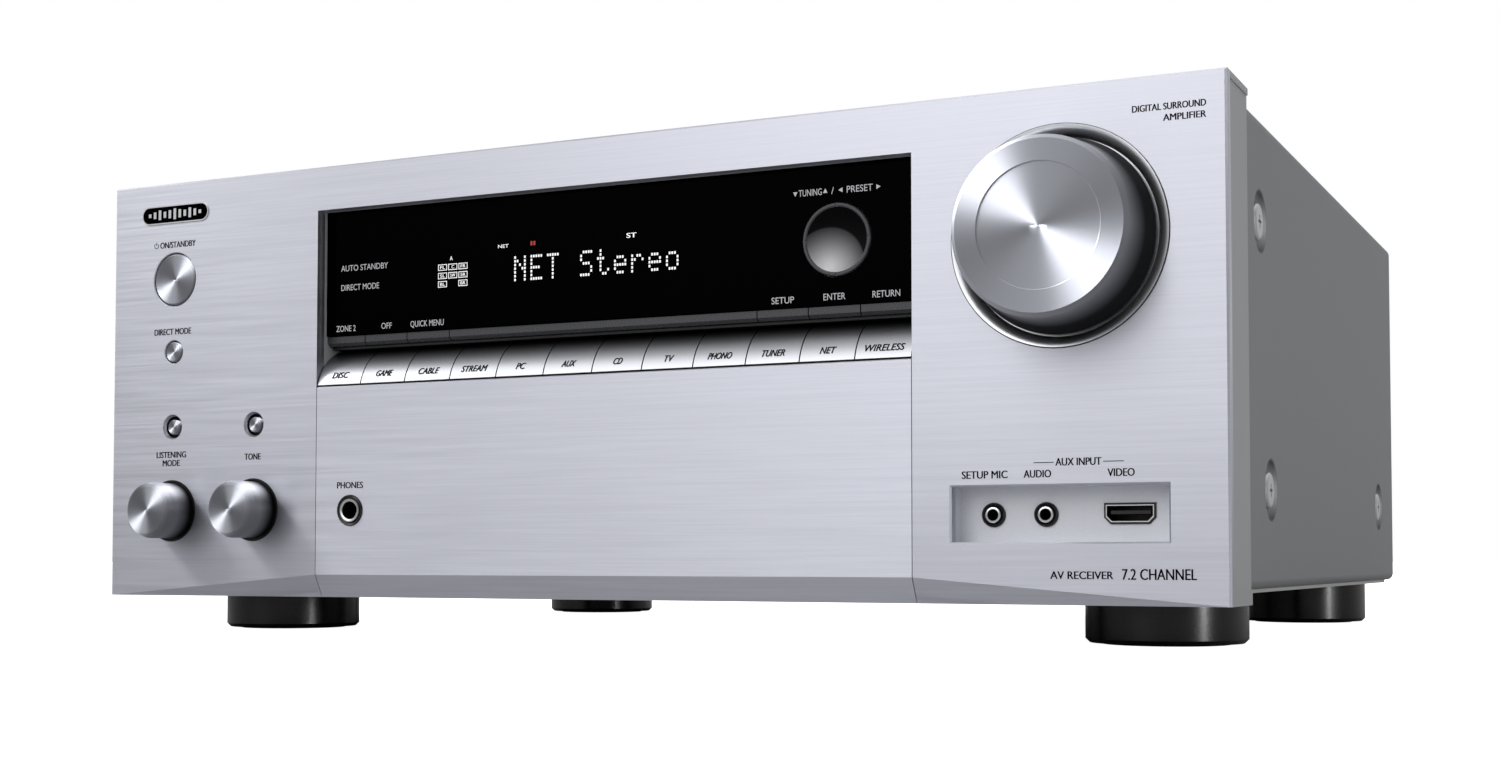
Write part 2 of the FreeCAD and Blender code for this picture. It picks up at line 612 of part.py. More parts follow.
def top_cover():
    front, back = BEZEL_BACK + GAP, BODY_DEEP
    outer = folded_section(COVER_HALF, COVER_LOW, COVER_TOP, (HEM, 3.6), front, back)
    inner = folded_section(COVER_HALF - SHEET, COVER_LOW + SHEET, COVER_TOP - SHEET,
                           (HEM - SHEET, 3.6 - SHEET), front - 1, back + 1)
    hem_end = COVER_HALF - HEM
    body = outer.cut([inner, block(-hem_end, hem_end, front - 1, back + 1, COVER_LOW - 1, COVER_LOW + 2)])
    flange = block(-CHASSIS_HALF, CHASSIS_HALF, REAR_FACE + 0.1, back, COVER_TOP - 10, COVER_TOP - 0.5)
    body = body.fuse(flange)
    boss_x = COVER_HALF - SHEET - 1.6
    bosses = []
    for depth, z in DIMPLES:
        boss = cross_rod(boss_x, COVER_HALF - 0.5, depth, z, DIMPLE_R + 0.8)
        bosses.extend([boss, mirrored(boss)])
    body = body.fuse(bosses)
    cuts = []
    for depth, z in DIMPLES:
        cut = dimple_cut(depth, z)
        cuts.extend([cut, mirrored(cut)])
    for x in COVER_SCREW_X:
        cuts.append(rod((x, COVER_SCREW_Z), SCREW_HOLE_R, REAR_FACE - 2, back + 2))
    return body.cut(cuts).cut(vent_slots())


def bottom_chassis():
    half, front, back = CHASSIS_HALF, CHASSIS_FRONT, REAR_FACE - SHEET - GAP
    floor = block(-half, half, front, back, FLOOR_LOW, FLOOR_TOP)
    side = block(half - SHEET, half, front, back, FLOOR_LOW, 62)
    upright = block(half - SHEET, half, 36, 70, FLOOR_LOW, 152)
    wall = block(-half, half, front, front + SHEET, FLOOR_LOW, COVER_TOP - 5)
    window = block(-60, 110, front - 1, front + 3, 60, 140)
    jack_gap = block(PHONES_AT[0] - 10, PHONES_AT[0] + 10, front - 1, front + 3,
                     PHONES_AT[1] - 10, PHONES_AT[1] + 10)
    pieces = [wall, side, mirrored(side), upright, mirrored(upright)]
    for x in AMP_POST_X:
        pieces.extend(post(x, d, 3.0, FLOOR_LOW + 0.5, AMP_BOARD_LOW) for d in AMP_POST_DEPTHS)
    body = floor.fuse(pieces).cut([window, jack_gap])
    holes = [post(x, d, SCREW_HOLE_R, FLOOR_LOW - 1, FLOOR_TOP + 1) for x, d in foot_spots()]
    for depth, z in DIMPLES:
        hole = cross_rod(half - 3, half + 3, depth, z, SCREW_R)
        holes.extend([hole, mirrored(hole)])
    for i in range(FLOOR_VENTS):
        holes.append(slot(-40.0 + VENT_PITCH * i, 166.0, 198.0, FLOOR_LOW - 1, FLOOR_TOP + 1))
    return body.cut(holes)


def foot_spots():
    return [(side * FOOT_X, depth) for side in (-1, 1) for depth in FOOT_DEPTHS]


def foot(x, depth):
    body = post(x, depth, FOOT_R, 0.5, FLOOR_LOW)
    low_edge = [e for e in body.Edges if abs(e.BoundBox.ZMax - 0.5) < 0.01]
    body = body.makeChamfer(1.4, low_edge)
    hollow = post(x, depth, 6.5, 0, 9.5)
    groove = post(x, depth, 21.0, 0, 1.3).cut(post(x, depth, 11.0, -1, 2))
    return body.cut([hollow, post(x, depth, SCREW_HOLE_R, 9, 20), groove])


def foot_pad(x, depth):
    return post(x, depth, 20.8, 0, 1.3).cut(post(x, depth, 11.2, -1, 2))


def side_screw(depth, z):
    """A truss-head screw in the right side; its head's rim rests on the dish."""
    dish_rise = SIDE_HEAD_R ** 2 / (2 * dimple_ball_r())
    seat = COVER_HALF - DIMPLE_DEEP + dish_rise + 0.02
    face = seat + SIDE_HEAD_TALL
    head = cross_rod(seat, face, depth, z, SIDE_HEAD_R)
    head = head.makeFillet(SIDE_HEAD_TALL - 0.3, [e for e in head.Edges if e.BoundBox.XMin > face - 0.1])
    shank = cross_rod(CHASSIS_HALF - 5, seat + 0.1, depth, z, SCREW_R - 0.05)
    return head.fuse(shank).cut(cross_slot_x(face, depth, z))


def screws():
    """Case screws: one in each side dimple, three in the rear flange, one up through each foot."""
    pieces = []
    for depth, z in DIMPLES:
        screw = side_screw(depth, z)
        pieces.extend([screw, mirrored(screw)])
    pieces.extend(rear_screw((x, COVER_SCREW_Z), BODY_DEEP) for x in COVER_SCREW_X)
    pieces.extend(rear_screw(at, REAR_FACE) for at in PANEL_SCREWS)
    for x, depth in foot_spots():
        pieces.append(post(x, depth, 4.2, 7.0, 9.5).fuse(post(x, depth, SCREW_R, 9.0, 24.0)))
    return group(pieces)


def cross_slot_x(face_x, depth, z):
    bars = [block(face_x - 0.8, face_x + 1, depth - 2.2, depth + 2.2, z - 0.45, z + 0.45),
            block(face_x - 0.8, face_x + 1, depth - 0.45, depth + 0.45, z - 2.2, z + 2.2)]
    return bars[0].fuse(bars[1])


def rear_screw(at, face):
    """A pan-head screw whose head stands on a face that looks backwards."""
    x, z = at
    head = rod(at, SCREW_HEAD_R, face, face + HEAD_TALL)
    head = head.makeFillet(0.8, [e for e in head.Edges if e.BoundBox.YMin > y(face + HEAD_TALL - 0.1)])
    body = head.fuse(rod(at, SCREW_R - 0.05, face - 7, face + 0.5))
    bars = [block(x - 2.2, x + 2.2, face + 1.0, face + 3, z - 0.45, z + 0.45),
            block(x - 0.45, x + 0.45, face + 1.0, face + 3, z - 2.2, z + 2.2)]
    return body.cut(bars)


def rear_panel():
    d0, d1 = REAR_FACE - SHEET, REAR_FACE
    body = block(-CHASSIS_HALF, CHASSIS_HALF, d0, d1, FLOOR_TOP, COVER_TOP - SHEET - 0.3)
    cuts = []
    cuts.extend(rod((x, z), RCA_R + 1.6, d0 - 1, d1 + 1) for x in RCA_X for z in RCA_Z)
    cuts.extend(prism_y(d0 - 1, d1 + 1, port_outline((x, PORT_Z), 16.3, 6.7, 2.0)) for x in PORT_X)
    cuts.append(block(*terminal_span(GAP), d0 - 1, d1 + 1, TERMINAL_BASE[0] - GAP, TERMINAL_BASE[1] + GAP))
    x, z = LAN_AT
    cuts.append(block(x - 8.2, x + 8.2, d0 - 1, d1 + 1, z - 7.2, z + 7.2))
    cuts.append(rod(ANTENNA_AT, 6.2, d0 - 1, d1 + 1))
    x, z = INLET_AT
    cuts.append(block(x - 13.9, x + 13.9, d0 - 1, d1 + 1, z - 10.4, z + 10.4))
    for at in tuple((screw_x, COVER_SCREW_Z) for screw_x in COVER_SCREW_X) + PANEL_SCREWS:
        cuts.append(rod(at, SCREW_R, d0 - 1, d1 + 1))
    for row in range(5):
        for column in range(9):
            x0 = -196.0 + 17.0 * column
            cuts.append(block(x0, x0 + 13.0, d0 - 1, d1 + 1, 84.0 + 9.0 * row, 87.2 + 9.0 * row))
    return body.cut(cuts)


def terminal_span(slack):
    reach = TERMINAL_PITCH / 2 + slack
    return min(TERMINAL_X) - reach, max(TERMINAL_X) + reach


# ---- rear connectors ----------------------------------------------------------------
def terminal_spots(row):
    return [(x, TERMINAL_Z[row]) for x in TERMINAL_X]


def terminal_post(at):
    """A post for bare wire or a banana plug."""
    end, bottom = TERMINAL_END - 0.6, CELL_FLOOR + 1.0
    outline = [(0, CELL_FLOOR), (POST_R, CELL_FLOOR), (POST_R, end), (BANANA_R, end), (BANANA_R, bottom),
               (0, bottom)]
    return turned(at, outline)


def terminal_block():
    """Moulded base divided into open cells, with a post standing in each cell."""
    x0, x1 = terminal_span(0.0)
    low, high = TERMINAL_BASE
    back, rim = 338.0, REAR_FACE + 1.6
    ribs = [block(x0, x1, CELL_FLOOR - 0.1, rim, z - CELL_RIB, z)
            for z in (low + CELL_RIB, TERMINAL_SPLIT, high)]
    walls = [x0 + CELL_RIB / 2] + [x0 + TERMINAL_PITCH * (i + 1) for i in range(6)] + [x1 - CELL_RIB / 2]
    ribs.extend(block(x - CELL_RIB / 2, x + CELL_RIB / 2, CELL_FLOOR - 0.1, rim, low, high) for x in walls)
    base = union([block(x0, x1, back, CELL_FLOOR, low, high)] + ribs)
    return group([base] + [terminal_post(at) for at in terminal_spots(0) + terminal_spots(1)])


def terminal_cap(at):
    """A fluted collar that screws down on a post."""
    flutes = 10
    body = rod(at, 7.2, REAR_FACE + 2.0, TERMINAL_END)
    rim = [e for e in body.Edges if e.BoundBox.YMin > y(TERMINAL_END - 0.01)]
    body = body.makeChamfer(0.6, rim)
    cuts = [rod(at, POST_R + 0.05, 300, 400)]
    for i in range(flutes):
        angle = 2 * math.pi * i / flutes
        spot = (at[0] + 8.1 * math.cos(angle), at[1] + 8.1 * math.sin(angle))
        cuts.append(rod(spot, 1.5, REAR_FACE + 3.2, TERMINAL_END + 1))
    return body.cut(cuts)


def rca_jack(at):
    """A phono socket: insulated flange, metal sleeve with a hollow, and the body behind."""
    outline = [(0, 332.0), (5.6, 332.0), (5.6, REAR_FACE + 1.0), (RCA_R, REAR_FACE + 1.0),
               (RCA_R, RCA_END - 0.3), (RCA_R - 0.3, RCA_END), (2.9, RCA_END),
               (2.9, RCA_END - 0.8), (1.6, RCA_END - 0.8), (1.6, 345.0), (0, 345.0)]
    return turned(at, outline)


def rear_ports():
    """Digital video sockets, the network socket and the aerial socket."""
    pieces = [video_port((x, PORT_Z), REAR_FACE + 0.6, 334.0) for x in PORT_X]
    x, z = LAN_AT
    lan = block(x - 8.0, x + 8.0, 333.0, REAR_FACE + 0.8, z - 7.0, z + 7.0)
    mouth = block(x - 5.9, x + 5.9, 336.0, REAR_FACE + 2, z - 3.0, z + 4.2)
    latch = block(x - 2.0, x + 2.0, 340.0, REAR_FACE + 2, z - 5.6, z - 2.9)
    pieces.append(lan.cut([mouth, latch]))
    outline = [(0.8, 338.0), (6.0, 338.0), (6.0, REAR_FACE + 0.8), (4.75, REAR_FACE + 0.8),
               (4.75, 356.0), (4.4, 356.4), (0.8, 356.4)]
    pieces.append(turned(ANTENNA_AT, outline))
    return group(pieces)


def ac_inlet():
    """Mains inlet with three flat pins, set back inside its shroud."""
    x, z = INLET_AT
    flange = block(x - 16.5, x + 16.5, REAR_FACE, REAR_FACE + 2.6, z - 12.5, z + 12.5)
    body = block(x - 13.7, x + 13.7, 328.0, REAR_FACE + 1, z - 10.2, z + 10.2)
    outline = [(x - 12.2, z - 8.6), (x + 12.2, z - 8.6), (x + 12.2, z + 4.6), (x + 8.4, z + 8.6),
               (x - 8.4, z + 8.6), (x - 12.2, z + 4.6)]
    cavity = prism_y(332.0, REAR_FACE + 5, outline)
    pins = []
    for px, pz in ((x - 7.0, z - 2.0), (x, z + 2.0), (x + 7.0, z - 2.0)):
        pins.append(block(px - 1.0, px + 1.0, 331.0, 343.6, pz - 2.0, pz + 2.0))
    return flange.fuse(body).cut(cavity).fuse(pins)


# ---- inside -------------------------------------------------------------------------
def transformer():
    """Laminated core with a wound coil through it, on a folded base plate."""
    x0, x1, d0, d1 = -200.0, -108.0, 78.0, 166.0
    low, high = FLOOR_TOP, 112.0
    foot_plate = block(x0 - 4, x1 + 4, d0, d1, low, low + 2.0)
    core = block(x0 + 4, x1 - 4, d0 + 26, d1 - 26, low + 2.0, high)
    windows = [block(x0 + 16, x0 + 36, d0, d1, low + 20, high - 16),
               block(x1 - 36, x1 - 16, d0, d1, low + 20, high - 16)]
    coil_outer = block(x0 + 17, x1 - 17, d0 + 8, d1 - 8, low + 21, high - 17)
    long_edges = [e for e in coil_outer.Edges if e.BoundBox.ZLength > 10]
    coil = coil_outer.makeFillet(10.0, long_edges)
    coil = coil.cut(block(x0 + 36, x1 - 36, d0 + 26, d1 - 26, low, high))
    return group([foot_plate.fuse(core.cut(windows)), coil])


def heatsink():
    """Extruded sink: a thick back with upright fins, on two feet."""
    x0, x1, d0 = -84.0, 206.0, 152.0
    base = block(x0, x1, d0, d0 + 7.0, 30.0, 134.0)
    fins = [block(x0 + 10.0 * i, x0 + 2.2 + 10.0 * i, d0 + 6.0, d0 + 40.0, 30.0, 134.0) for i in range(29)]
    legs = [block(x, x + 14.0, d0, d0 + 7.0, FLOOR_TOP, 31.0) for x in (x0 + 6.0, x1 - 20.0)]
    return union([base] + fins + legs)


def output_transistors():
    pieces = []
    for i in range(14):
        x = -70.0 + 20.0 * i
        package = block(x - 7.8, x + 7.8, 147.0, 152.0, 52.0, 72.0)
        legs = [block(x + s * 5.45 - 0.6, x + s * 5.45 + 0.6, 148.5, 149.1, AMP_BOARD_LOW + BOARD, 52.5)
                for s in (-1, 0, 1)]
        pieces.append(package.fuse(legs))
    return group(pieces)


def amplifier_board():
    low = AMP_BOARD_LOW
    board = block(-88, 206, 60, 151, low, low + BOARD)
    parts = []
    for i in range(7):
        x = -62.0 + 40.0 * i
        parts.append(block(x - 9, x + 9, 118, 130, low + 1, low + 18))
        parts.append(post(x + 16, 112, 5.0, low + 1, low + 14))
        parts.append(block(x - 12, x - 4, 98, 106, low + 1, low + 12))
    return board.fuse(parts)


def filter_capacitors():
    low = AMP_BOARD_LOW + BOARD
    spots = ((-52.0, 82.0, 17.5, 52.0), (-12.0, 82.0, 17.5, 52.0), (30.0, 78.0, 9.0, 32.0),
             (54.0, 78.0, 9.0, 32.0), (80.0, 78.0, 9.0, 32.0))
    pieces = []
    for x, depth, radius, tall in spots:
        can = post(x, depth, radius, low, low + tall)
        rims = [e for e in can.Edges if e.BoundBox.ZMin > low + tall - 0.01]
        pieces.append(can.makeFillet(1.2, rims))
    return group(pieces)


def digital_board():
    """Upright socket board behind the rear panel, and the processing board ahead of it."""
    upright = block(-36, 206, 330.0, 331.6, 84, 164)
    main = block(-36, 206, 226.0, 330.0, 141.0, 142.6)
    chips = [block(20, 48, 262, 290, 142.0, 145.2), block(78, 98, 250, 270, 142.0, 144.4),
             block(128, 142, 280, 294, 142.0, 144.4), block(160, 184, 246, 262, 142.0, 144.4),
             block(-20, 0, 300, 318, 142.0, 150.0)]
    feet = [block(x, x + 10.0, 228.0, 231.0, FLOOR_TOP, 141.5) for x in (-30.0, 190.0)]
    return union([upright, main] + chips + feet)


# ---- all nodes ----------------------------------------------------------------------
def build():
    nodes = {
        "front_plate": front_plate(),
        "centre_panel": centre_panel(),
        "front_bezel": front_bezel(),
        "display_window": display_window(),
        "cursor_ring": cursor_ring(),
        "cursor_disc": cursor_disc(),
        "cursor_gimbal": cursor_gimbal(),
        "power_button": power_button(),
        "direct_button": direct_button(),
        "mode_button": small_button(MODE_BUTTON_AT),
        "tone_button": small_button(TONE_BUTTON_AT),
        "mode_knob": small_knob(MODE_KNOB_AT),
        "tone_knob": small_knob(TONE_KNOB_AT),
        "volume_knob": volume_knob(),
        "volume_dish": volume_dish(),
        "knob_rings": group([knob_ring(MODE_KNOB_AT), knob_ring(TONE_KNOB_AT)]),
        "input_tray": input_tray(),
        "mini_jacks": group([mini_jack(MIC_AT), mini_jack(AUX_AT)]),
        "front_port": video_port(FRONT_PORT_AT, 8.7, 22.8),
        "phones_jack": phones_jack(),
        "top_cover": top_cover(),
        "bottom_chassis": bottom_chassis(),
        "rear_panel": rear_panel(),
        "feet": group([foot(*spot) for spot in foot_spots()]),
        "foot_pads": group([foot_pad(*spot) for spot in foot_spots()]),
        "case_screws": screws(),
        "display_tube": display_tube(),
        "front_board": front_board(),
        "encoders": group([encoder(at) for at in (MODE_KNOB_AT, TONE_KNOB_AT, VOLUME_AT)]),
        "transformer": transformer(),
        "heatsink": heatsink(),
        "output_transistors": output_transistors(),
        "amplifier_board": amplifier_board(),
        "filter_capacitors": filter_capacitors(),
        "digital_board": digital_board(),
        "terminal_block": terminal_block(),
        "terminal_caps_red": group([terminal_cap(at) for at in terminal_spots(0)]),
        "terminal_caps_black": group([terminal_cap(at) for at in terminal_spots(1)]),
        "rca_jacks": group([rca_jack((x, z)) for x in RCA_X for z in RCA_Z]),
        "rear_ports": rear_ports(),
        "ac_inlet": ac_inlet(),
    }
    nodes.update(strip_pieces())
    nodes.update(selector_keys())
    return nodes


def main():
    os.makedirs("parts", exist_ok=True)
    for name, shape in build().items():
        shape.exportStep("parts/%s.step" % name)
        box = shape.BoundBox
        print("%-20s solids %2d valid %s volume %.0f  x %.1f %.1f  y %.1f %.1f  z %.1f %.1f" % (
            name, len(shape.Solids), shape.isValid(), shape.Volume,
            box.XMin, box.XMax, box.YMin, box.YMax, box.ZMin, box.ZMax))


main()
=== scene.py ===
"""Looks of a home audio receiver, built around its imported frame.

Row frame: +X to the right seen from the front, +Y to the back, +Z up, in metres.
"""
import bpy
import bmesh
import json
import math
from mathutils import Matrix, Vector

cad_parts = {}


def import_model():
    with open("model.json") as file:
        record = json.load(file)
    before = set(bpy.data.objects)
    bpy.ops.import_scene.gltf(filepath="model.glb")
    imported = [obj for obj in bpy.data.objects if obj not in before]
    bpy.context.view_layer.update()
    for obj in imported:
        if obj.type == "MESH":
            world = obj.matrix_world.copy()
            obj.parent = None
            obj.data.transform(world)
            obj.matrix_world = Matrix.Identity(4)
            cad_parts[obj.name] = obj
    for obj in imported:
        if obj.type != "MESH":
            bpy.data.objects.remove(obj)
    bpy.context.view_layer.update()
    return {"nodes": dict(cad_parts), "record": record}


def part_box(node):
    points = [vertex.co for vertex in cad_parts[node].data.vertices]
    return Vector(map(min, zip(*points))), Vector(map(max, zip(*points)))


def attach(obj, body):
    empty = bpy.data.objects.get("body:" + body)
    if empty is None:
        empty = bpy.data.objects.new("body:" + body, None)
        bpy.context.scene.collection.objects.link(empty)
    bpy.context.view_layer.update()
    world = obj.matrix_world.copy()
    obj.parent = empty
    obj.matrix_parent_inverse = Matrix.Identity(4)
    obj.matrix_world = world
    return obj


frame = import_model()
NODES = frame["nodes"]
MM = 0.001
SKIN = 0.04 * MM           # printed marks stand this far proud of their surface


def centre(node):
    low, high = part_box(node)
    return (low + high) / 2


def half_width(node):
    low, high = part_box(node)
    return (high.x - low.x) / 2


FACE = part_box("front_plate")[0].y           # the front plate's face
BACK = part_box("rear_panel")[1].y            # the rear panel's outer face
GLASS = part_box("display_window")[0].y       # the display window's face
PLATE_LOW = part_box("front_plate")[0].z      # the front plate's lower edge


# ---- node graphs --------------------------------------------------------------------
def add_node(tree, kind, inputs=None, **props):
    """A new node; inputs gives each socket a value, or another node's output to link."""
    made = tree.nodes.new("ShaderNode" + kind)
    for key, value in props.items():
        setattr(made, key, value)
    for key, value in (inputs or {}).items():
        if isinstance(value, bpy.types.NodeSocket):
            tree.links.new(value, made.inputs[key])
        else:
            made.inputs[key].default_value = value
    return made


class Graph:
    """A material's nodes round one Principled shader."""

    def __init__(self, name, **values):
        self.material = bpy.data.materials.new(name)
        self.material.use_nodes = True
        self.tree = self.material.node_tree
        self.shader = self.tree.nodes["Principled BSDF"]
        for key, value in values.items():
            self.shader.inputs[key.replace("_", " ")].default_value = value

    def node(self, kind, inputs=None, **props):
        return add_node(self.tree, kind, inputs, **props)

    def out(self, kind, inputs=None, **props):
        return self.node(kind, inputs, **props).outputs[0]

    def place(self):
        return self.node("TexCoord").outputs["Object"]

    def along(self, axis):
        """The place's X, Y or Z."""
        return self.node("SeparateXYZ", {0: self.place()}).outputs[axis]

    def stretched(self, x, y, z, origin=(0, 0, 0)):
        """The place from an origin, scaled along each axis."""
        moved = self.out("VectorMath", {0: self.place(), 1: origin}, operation="SUBTRACT")
        return self.out("VectorMath", {0: moved, 1: (x, y, z)}, operation="MULTIPLY")

    def radius(self, origin, across=(1, 0, 1)):
        """Distance from an axis through the origin; across is 0 along that axis."""
        flattened = self.stretched(*across, origin)
        return self.node("VectorMath", {0: flattened}, operation="LENGTH").outputs["Value"]

    def noise(self, vector, detail=2.0):
        return self.out("TexNoise", {"Vector": vector, "Scale": 1.0, "Detail": detail})

    def grains(self, scale, detail=2.0):
        """Noise that is equally fine in every direction."""
        return self.noise(self.stretched(scale, scale, scale), detail)

    def math(self, operation, a, b=0.0):
        return self.out("Math", {0: a, 1: b}, operation=operation)

    def blend(self, a, b, share):
        """A share of a, and of b the rest."""
        most, rest = self.math("MULTIPLY", a, share), self.math("MULTIPLY", b, 1 - share)
        return self.math("ADD", most, rest)

    def ramp(self, value, low, high, to_low=0.0, to_high=1.0):
        return self.out("MapRange", {"Value": value, "From Min": low, "From Max": high,
                                     "To Min": to_low, "To Max": to_high})

    def mix(self, factor, a, b, blend="MIX"):
        inputs = {0: factor, 6: a, 7: b}
        return self.node("Mix", inputs, data_type="RGBA", blend_type=blend).outputs[2]

    def varied(self, value, colour, swing, low=0.3, high=0.7):
        """A colour that is darker where the value is low and lighter where it is high."""
        darker, lighter = shade(colour, 1 - swing), shade(colour, 1 + swing)
        return self.mix(self.ramp(value, low, high), darker, lighter)

    def feed(self, name, output):
        self.tree.links.new(output, self.shader.inputs[name])

    def feed_rough(self, value, low, high):
        """Roughness between low and high as a noise rises through its usual range."""
        self.feed("Roughness", self.ramp(value, 0.3, 0.7, low, high))

    def feed_tangent(self, axis):
        self.feed("Tangent", self.out("Tangent", direction_type="RADIAL", axis=axis))

    def bump(self, height, distance):
        inputs = {"Height": height, "Strength": 1.0, "Distance": distance}
        self.feed("Normal", self.out("Bump", inputs))


def rgb(r, g, b):
    return (r, g, b, 1.0)


def shade(colour, factor):
    return (*(min(1.0, channel * factor) for channel in colour[:3]), 1.0)


# ---- materials ----------------------------------------------------------------------
GRAIN = 2500.0                         # usual fineness of paint grain and metal haze, per metre
GROOVES = 7000.0                       # fineness of a turned part's rings
TURNED_ROUGH = 0.66
# painted shade, black, in the clearances round some buttons
CUP_SHADE_BLACK = rgb(0.008, 0.008, 0.009)
LOW_EDGE_SHADE_SPAN = (PLATE_LOW + 16 * MM, PLATE_LOW + 62 * MM)    # heights where the painted shade near the plate's lower edge fades out


def brushed(name, colour, rough, stretch, fine, swing, metal=1.0, low_edge_shade=None, shaded_cups=()):
    """Metal brushed along X.

    The factor after metal is painted shade that darkens its upright face near the plate's lower edge;
    the last argument holds (button, gap in mm) for painted shade, black, in the clearances round some
    buttons.
    """
    g = Graph(name, Metallic=metal, Anisotropic=stretch)
    fine_streaks = g.noise(g.stretched(22, 22, fine), detail=3.0)
    wide_streaks = g.noise(g.stretched(6, 6, fine / 5))
    streaks = g.blend(fine_streaks, wide_streaks, 0.8)
    tone = g.varied(streaks, colour, swing, 0.35, 0.65)
    # painted shade: the upright face darkens towards the plate's lower edge
    if low_edge_shade:
        low = g.ramp(g.along("Z"), *LOW_EDGE_SHADE_SPAN, 1.0, 0.0)
        slope = g.node("SeparateXYZ", {0: g.node("NewGeometry").outputs["Normal"]}).outputs["Z"]
        upright = g.math("MULTIPLY", low, g.ramp(slope, -0.2, -0.05))
        tone = g.mix(upright, tone, rgb(low_edge_shade, low_edge_shade, low_edge_shade), "MULTIPLY")
    # painted shade: the plate turns black in the clearance round each of these buttons
    for button, gap in shaded_cups:
        edge = half_width(button) + gap * MM
        outside = g.ramp(g.radius(centre(button)), edge - 0.2 * MM, edge)
        tone = g.mix(outside, CUP_SHADE_BLACK, tone)
    g.feed("Base Color", tone)
    g.feed_rough(streaks, rough - 0.04, rough + 0.05)
    g.feed_tangent("X")
    g.bump(fine_streaks, 0.006 * MM)
    return g.material


def turned_metal(name, node, colour, side):
    """Metal turned on a lathe about the depth axis: fine rings, a highlight spread outwards.

    side is (begin, end, dark): between two depths in mm behind its front the side darkens
    with painted shade to this part of the colour.
    """
    begin, end, dark = side
    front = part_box(node)[0].y
    g = Graph(name, Metallic=1.0, Anisotropic=1.0, Anisotropic_Rotation=0.25)
    ring = g.math("MULTIPLY", g.radius(centre(node)), GROOVES)
    rings = g.noise(g.out("CombineXYZ", {"X": ring}))
    face = g.mix(g.ramp(rings, 0.3, 0.7), shade(colour, 0.94), shade(colour, 1.04))
    # painted shade: the side darkens towards its base
    deep = g.ramp(g.along("Y"), front + begin * MM, front + end * MM)
    g.feed("Base Color", g.mix(deep, face, shade(colour, dark)))
    g.feed_rough(rings, TURNED_ROUGH - 0.03, TURNED_ROUGH + 0.05)
    g.feed_tangent("Y")
    g.bump(rings, 0.002 * MM)
    return g.material


def polished(name, colour, rough, shadow=None):
    """Bright metal with a fine haze; between the two heights of shadow it falls into the dark."""
    g = Graph(name, Metallic=1.0)
    haze = g.grains(GRAIN)
    tone = g.varied(haze, colour, 0.02)
    if shadow:
        tone = g.mix(g.ramp(g.along("Z"), *shadow), tone, shade(colour, 0.07))
    g.feed("Base Color", tone)
    g.feed_rough(haze, rough * 0.93, rough * 1.07)
    return g.material


def dish_metal(name):
    """The bright rolled rim of the volume knob's dish, with painted shade dark down round the knob, and
    a thin dark line at its outer edge.
    """
    r = half_width("volume_dish")
    g = Graph(name, Metallic=1.0)
    out = g.radius(centre("volume_dish"))
    # painted shade: black round the knob, rising to the bright rim
    inner = g.mix(g.ramp(out, 0.77 * r, 0.88 * r), rgb(0.01, 0.01, 0.012), rgb(0.88, 0.89, 0.93))
    edge = g.ramp(out, 0.988 * r, 0.994 * r)
    g.feed("Base Color", g.mix(edge, inner, rgb(0.03, 0.03, 0.035)))
    g.feed_rough(g.grains(60, 1.0), 0.31, 0.32)
    return g.material


def lit_dome(name, node):
    """A smoked disc with a painted reflection: black above, grading to grey at its lower left."""
    middle, r = centre(node), half_width(node)
    g = Graph(name, Metallic=1.0)
    # painted reflection: grey at the lower left, fading to black above and towards the far edge
    away = g.radius((middle.x - 0.28 * r, middle.y, middle.z - 0.80 * r))
    painted_reflection = g.mix(g.ramp(away, 0.1 * r, 1.15 * r), rgb(0.25, 0.25, 0.255), rgb(0.05, 0.05, 0.053))
    edge = g.ramp(away, 1.16 * r, 1.22 * r)
    g.feed("Base Color", g.mix(edge, painted_reflection, rgb(0.006, 0.006, 0.006)))
    g.feed_rough(g.grains(900), 0.3, 0.34)
    return g.material


def painted(name, colour, rough, grain=GRAIN, height=0.02, metal=0.0, coat=0.0, shine=0.5):
    """Paint, moulded plastic or rubber; height is that of its grain, in mm."""
    g = Graph(name, Metallic=metal, Coat_Weight=coat, Coat_Roughness=0.15, Specular_IOR_Level=shine)
    grains, clouds = g.grains(grain), g.grains(14)
    g.feed("Base Color", g.varied(g.blend(grains, clouds, 0.5), colour, 0.05, 0.35, 0.65))
    g.feed_rough(grains, rough - 0.04, rough + 0.06)
    g.bump(grains, height * MM)
    return g.material


# The side screws' dishes: depth behind the front plate and height, in mm.
DISHES = ((52.3, 135.8), (66.2, 50.3), (306.0, 50.5))
DISH_R = 10.5 * MM


def dished_paint(name, colour, rough):
    """The cover's paint, with painted light and shade in its side screws' dishes: a painted highlight
    across the middle, fading to painted shade above and below.
    """
    g = Graph(name, Specular_IOR_Level=0.15)
    grains = g.grains(GRAIN)
    tone = g.varied(grains, colour, 0.03, 0.35, 0.65)
    for depth, height in DISHES:
        outside = g.radius((0, FACE + depth * MM, height * MM), across=(0, 1, 1))
        rise = g.math("ABSOLUTE", g.math("SUBTRACT", g.along("Z"), height * MM))
        fade = g.ramp(rise, 1.5 * MM, DISH_R - 1.5 * MM)
        # painted highlight across each dish's middle, painted shade above and below
        painted_light_and_shade = g.mix(fade, rgb(0.55, 0.56, 0.60), rgb(0.06, 0.062, 0.068))
        tone = g.mix(g.ramp(outside, DISH_R - 0.8 * MM, DISH_R), painted_light_and_shade, tone)
    g.feed("Base Color", tone)
    g.feed_rough(grains, rough - 0.04, rough + 0.06)
    g.bump(grains, 0.012 * MM)
    return g.material


def glowing(name, colour, strength):
    """Lit dots of the display, a little uneven as in a vacuum tube."""
    g = Graph(name, Base_Color=rgb(0.02, 0.02, 0.02), Roughness=0.4, Emission_Strength=strength)
    drift = g.ramp(g.grains(60, 1.0), 0.3, 0.7)
    g.feed("Emission Color", g.mix(drift, shade(colour, 0.88), colour))
    return g.material


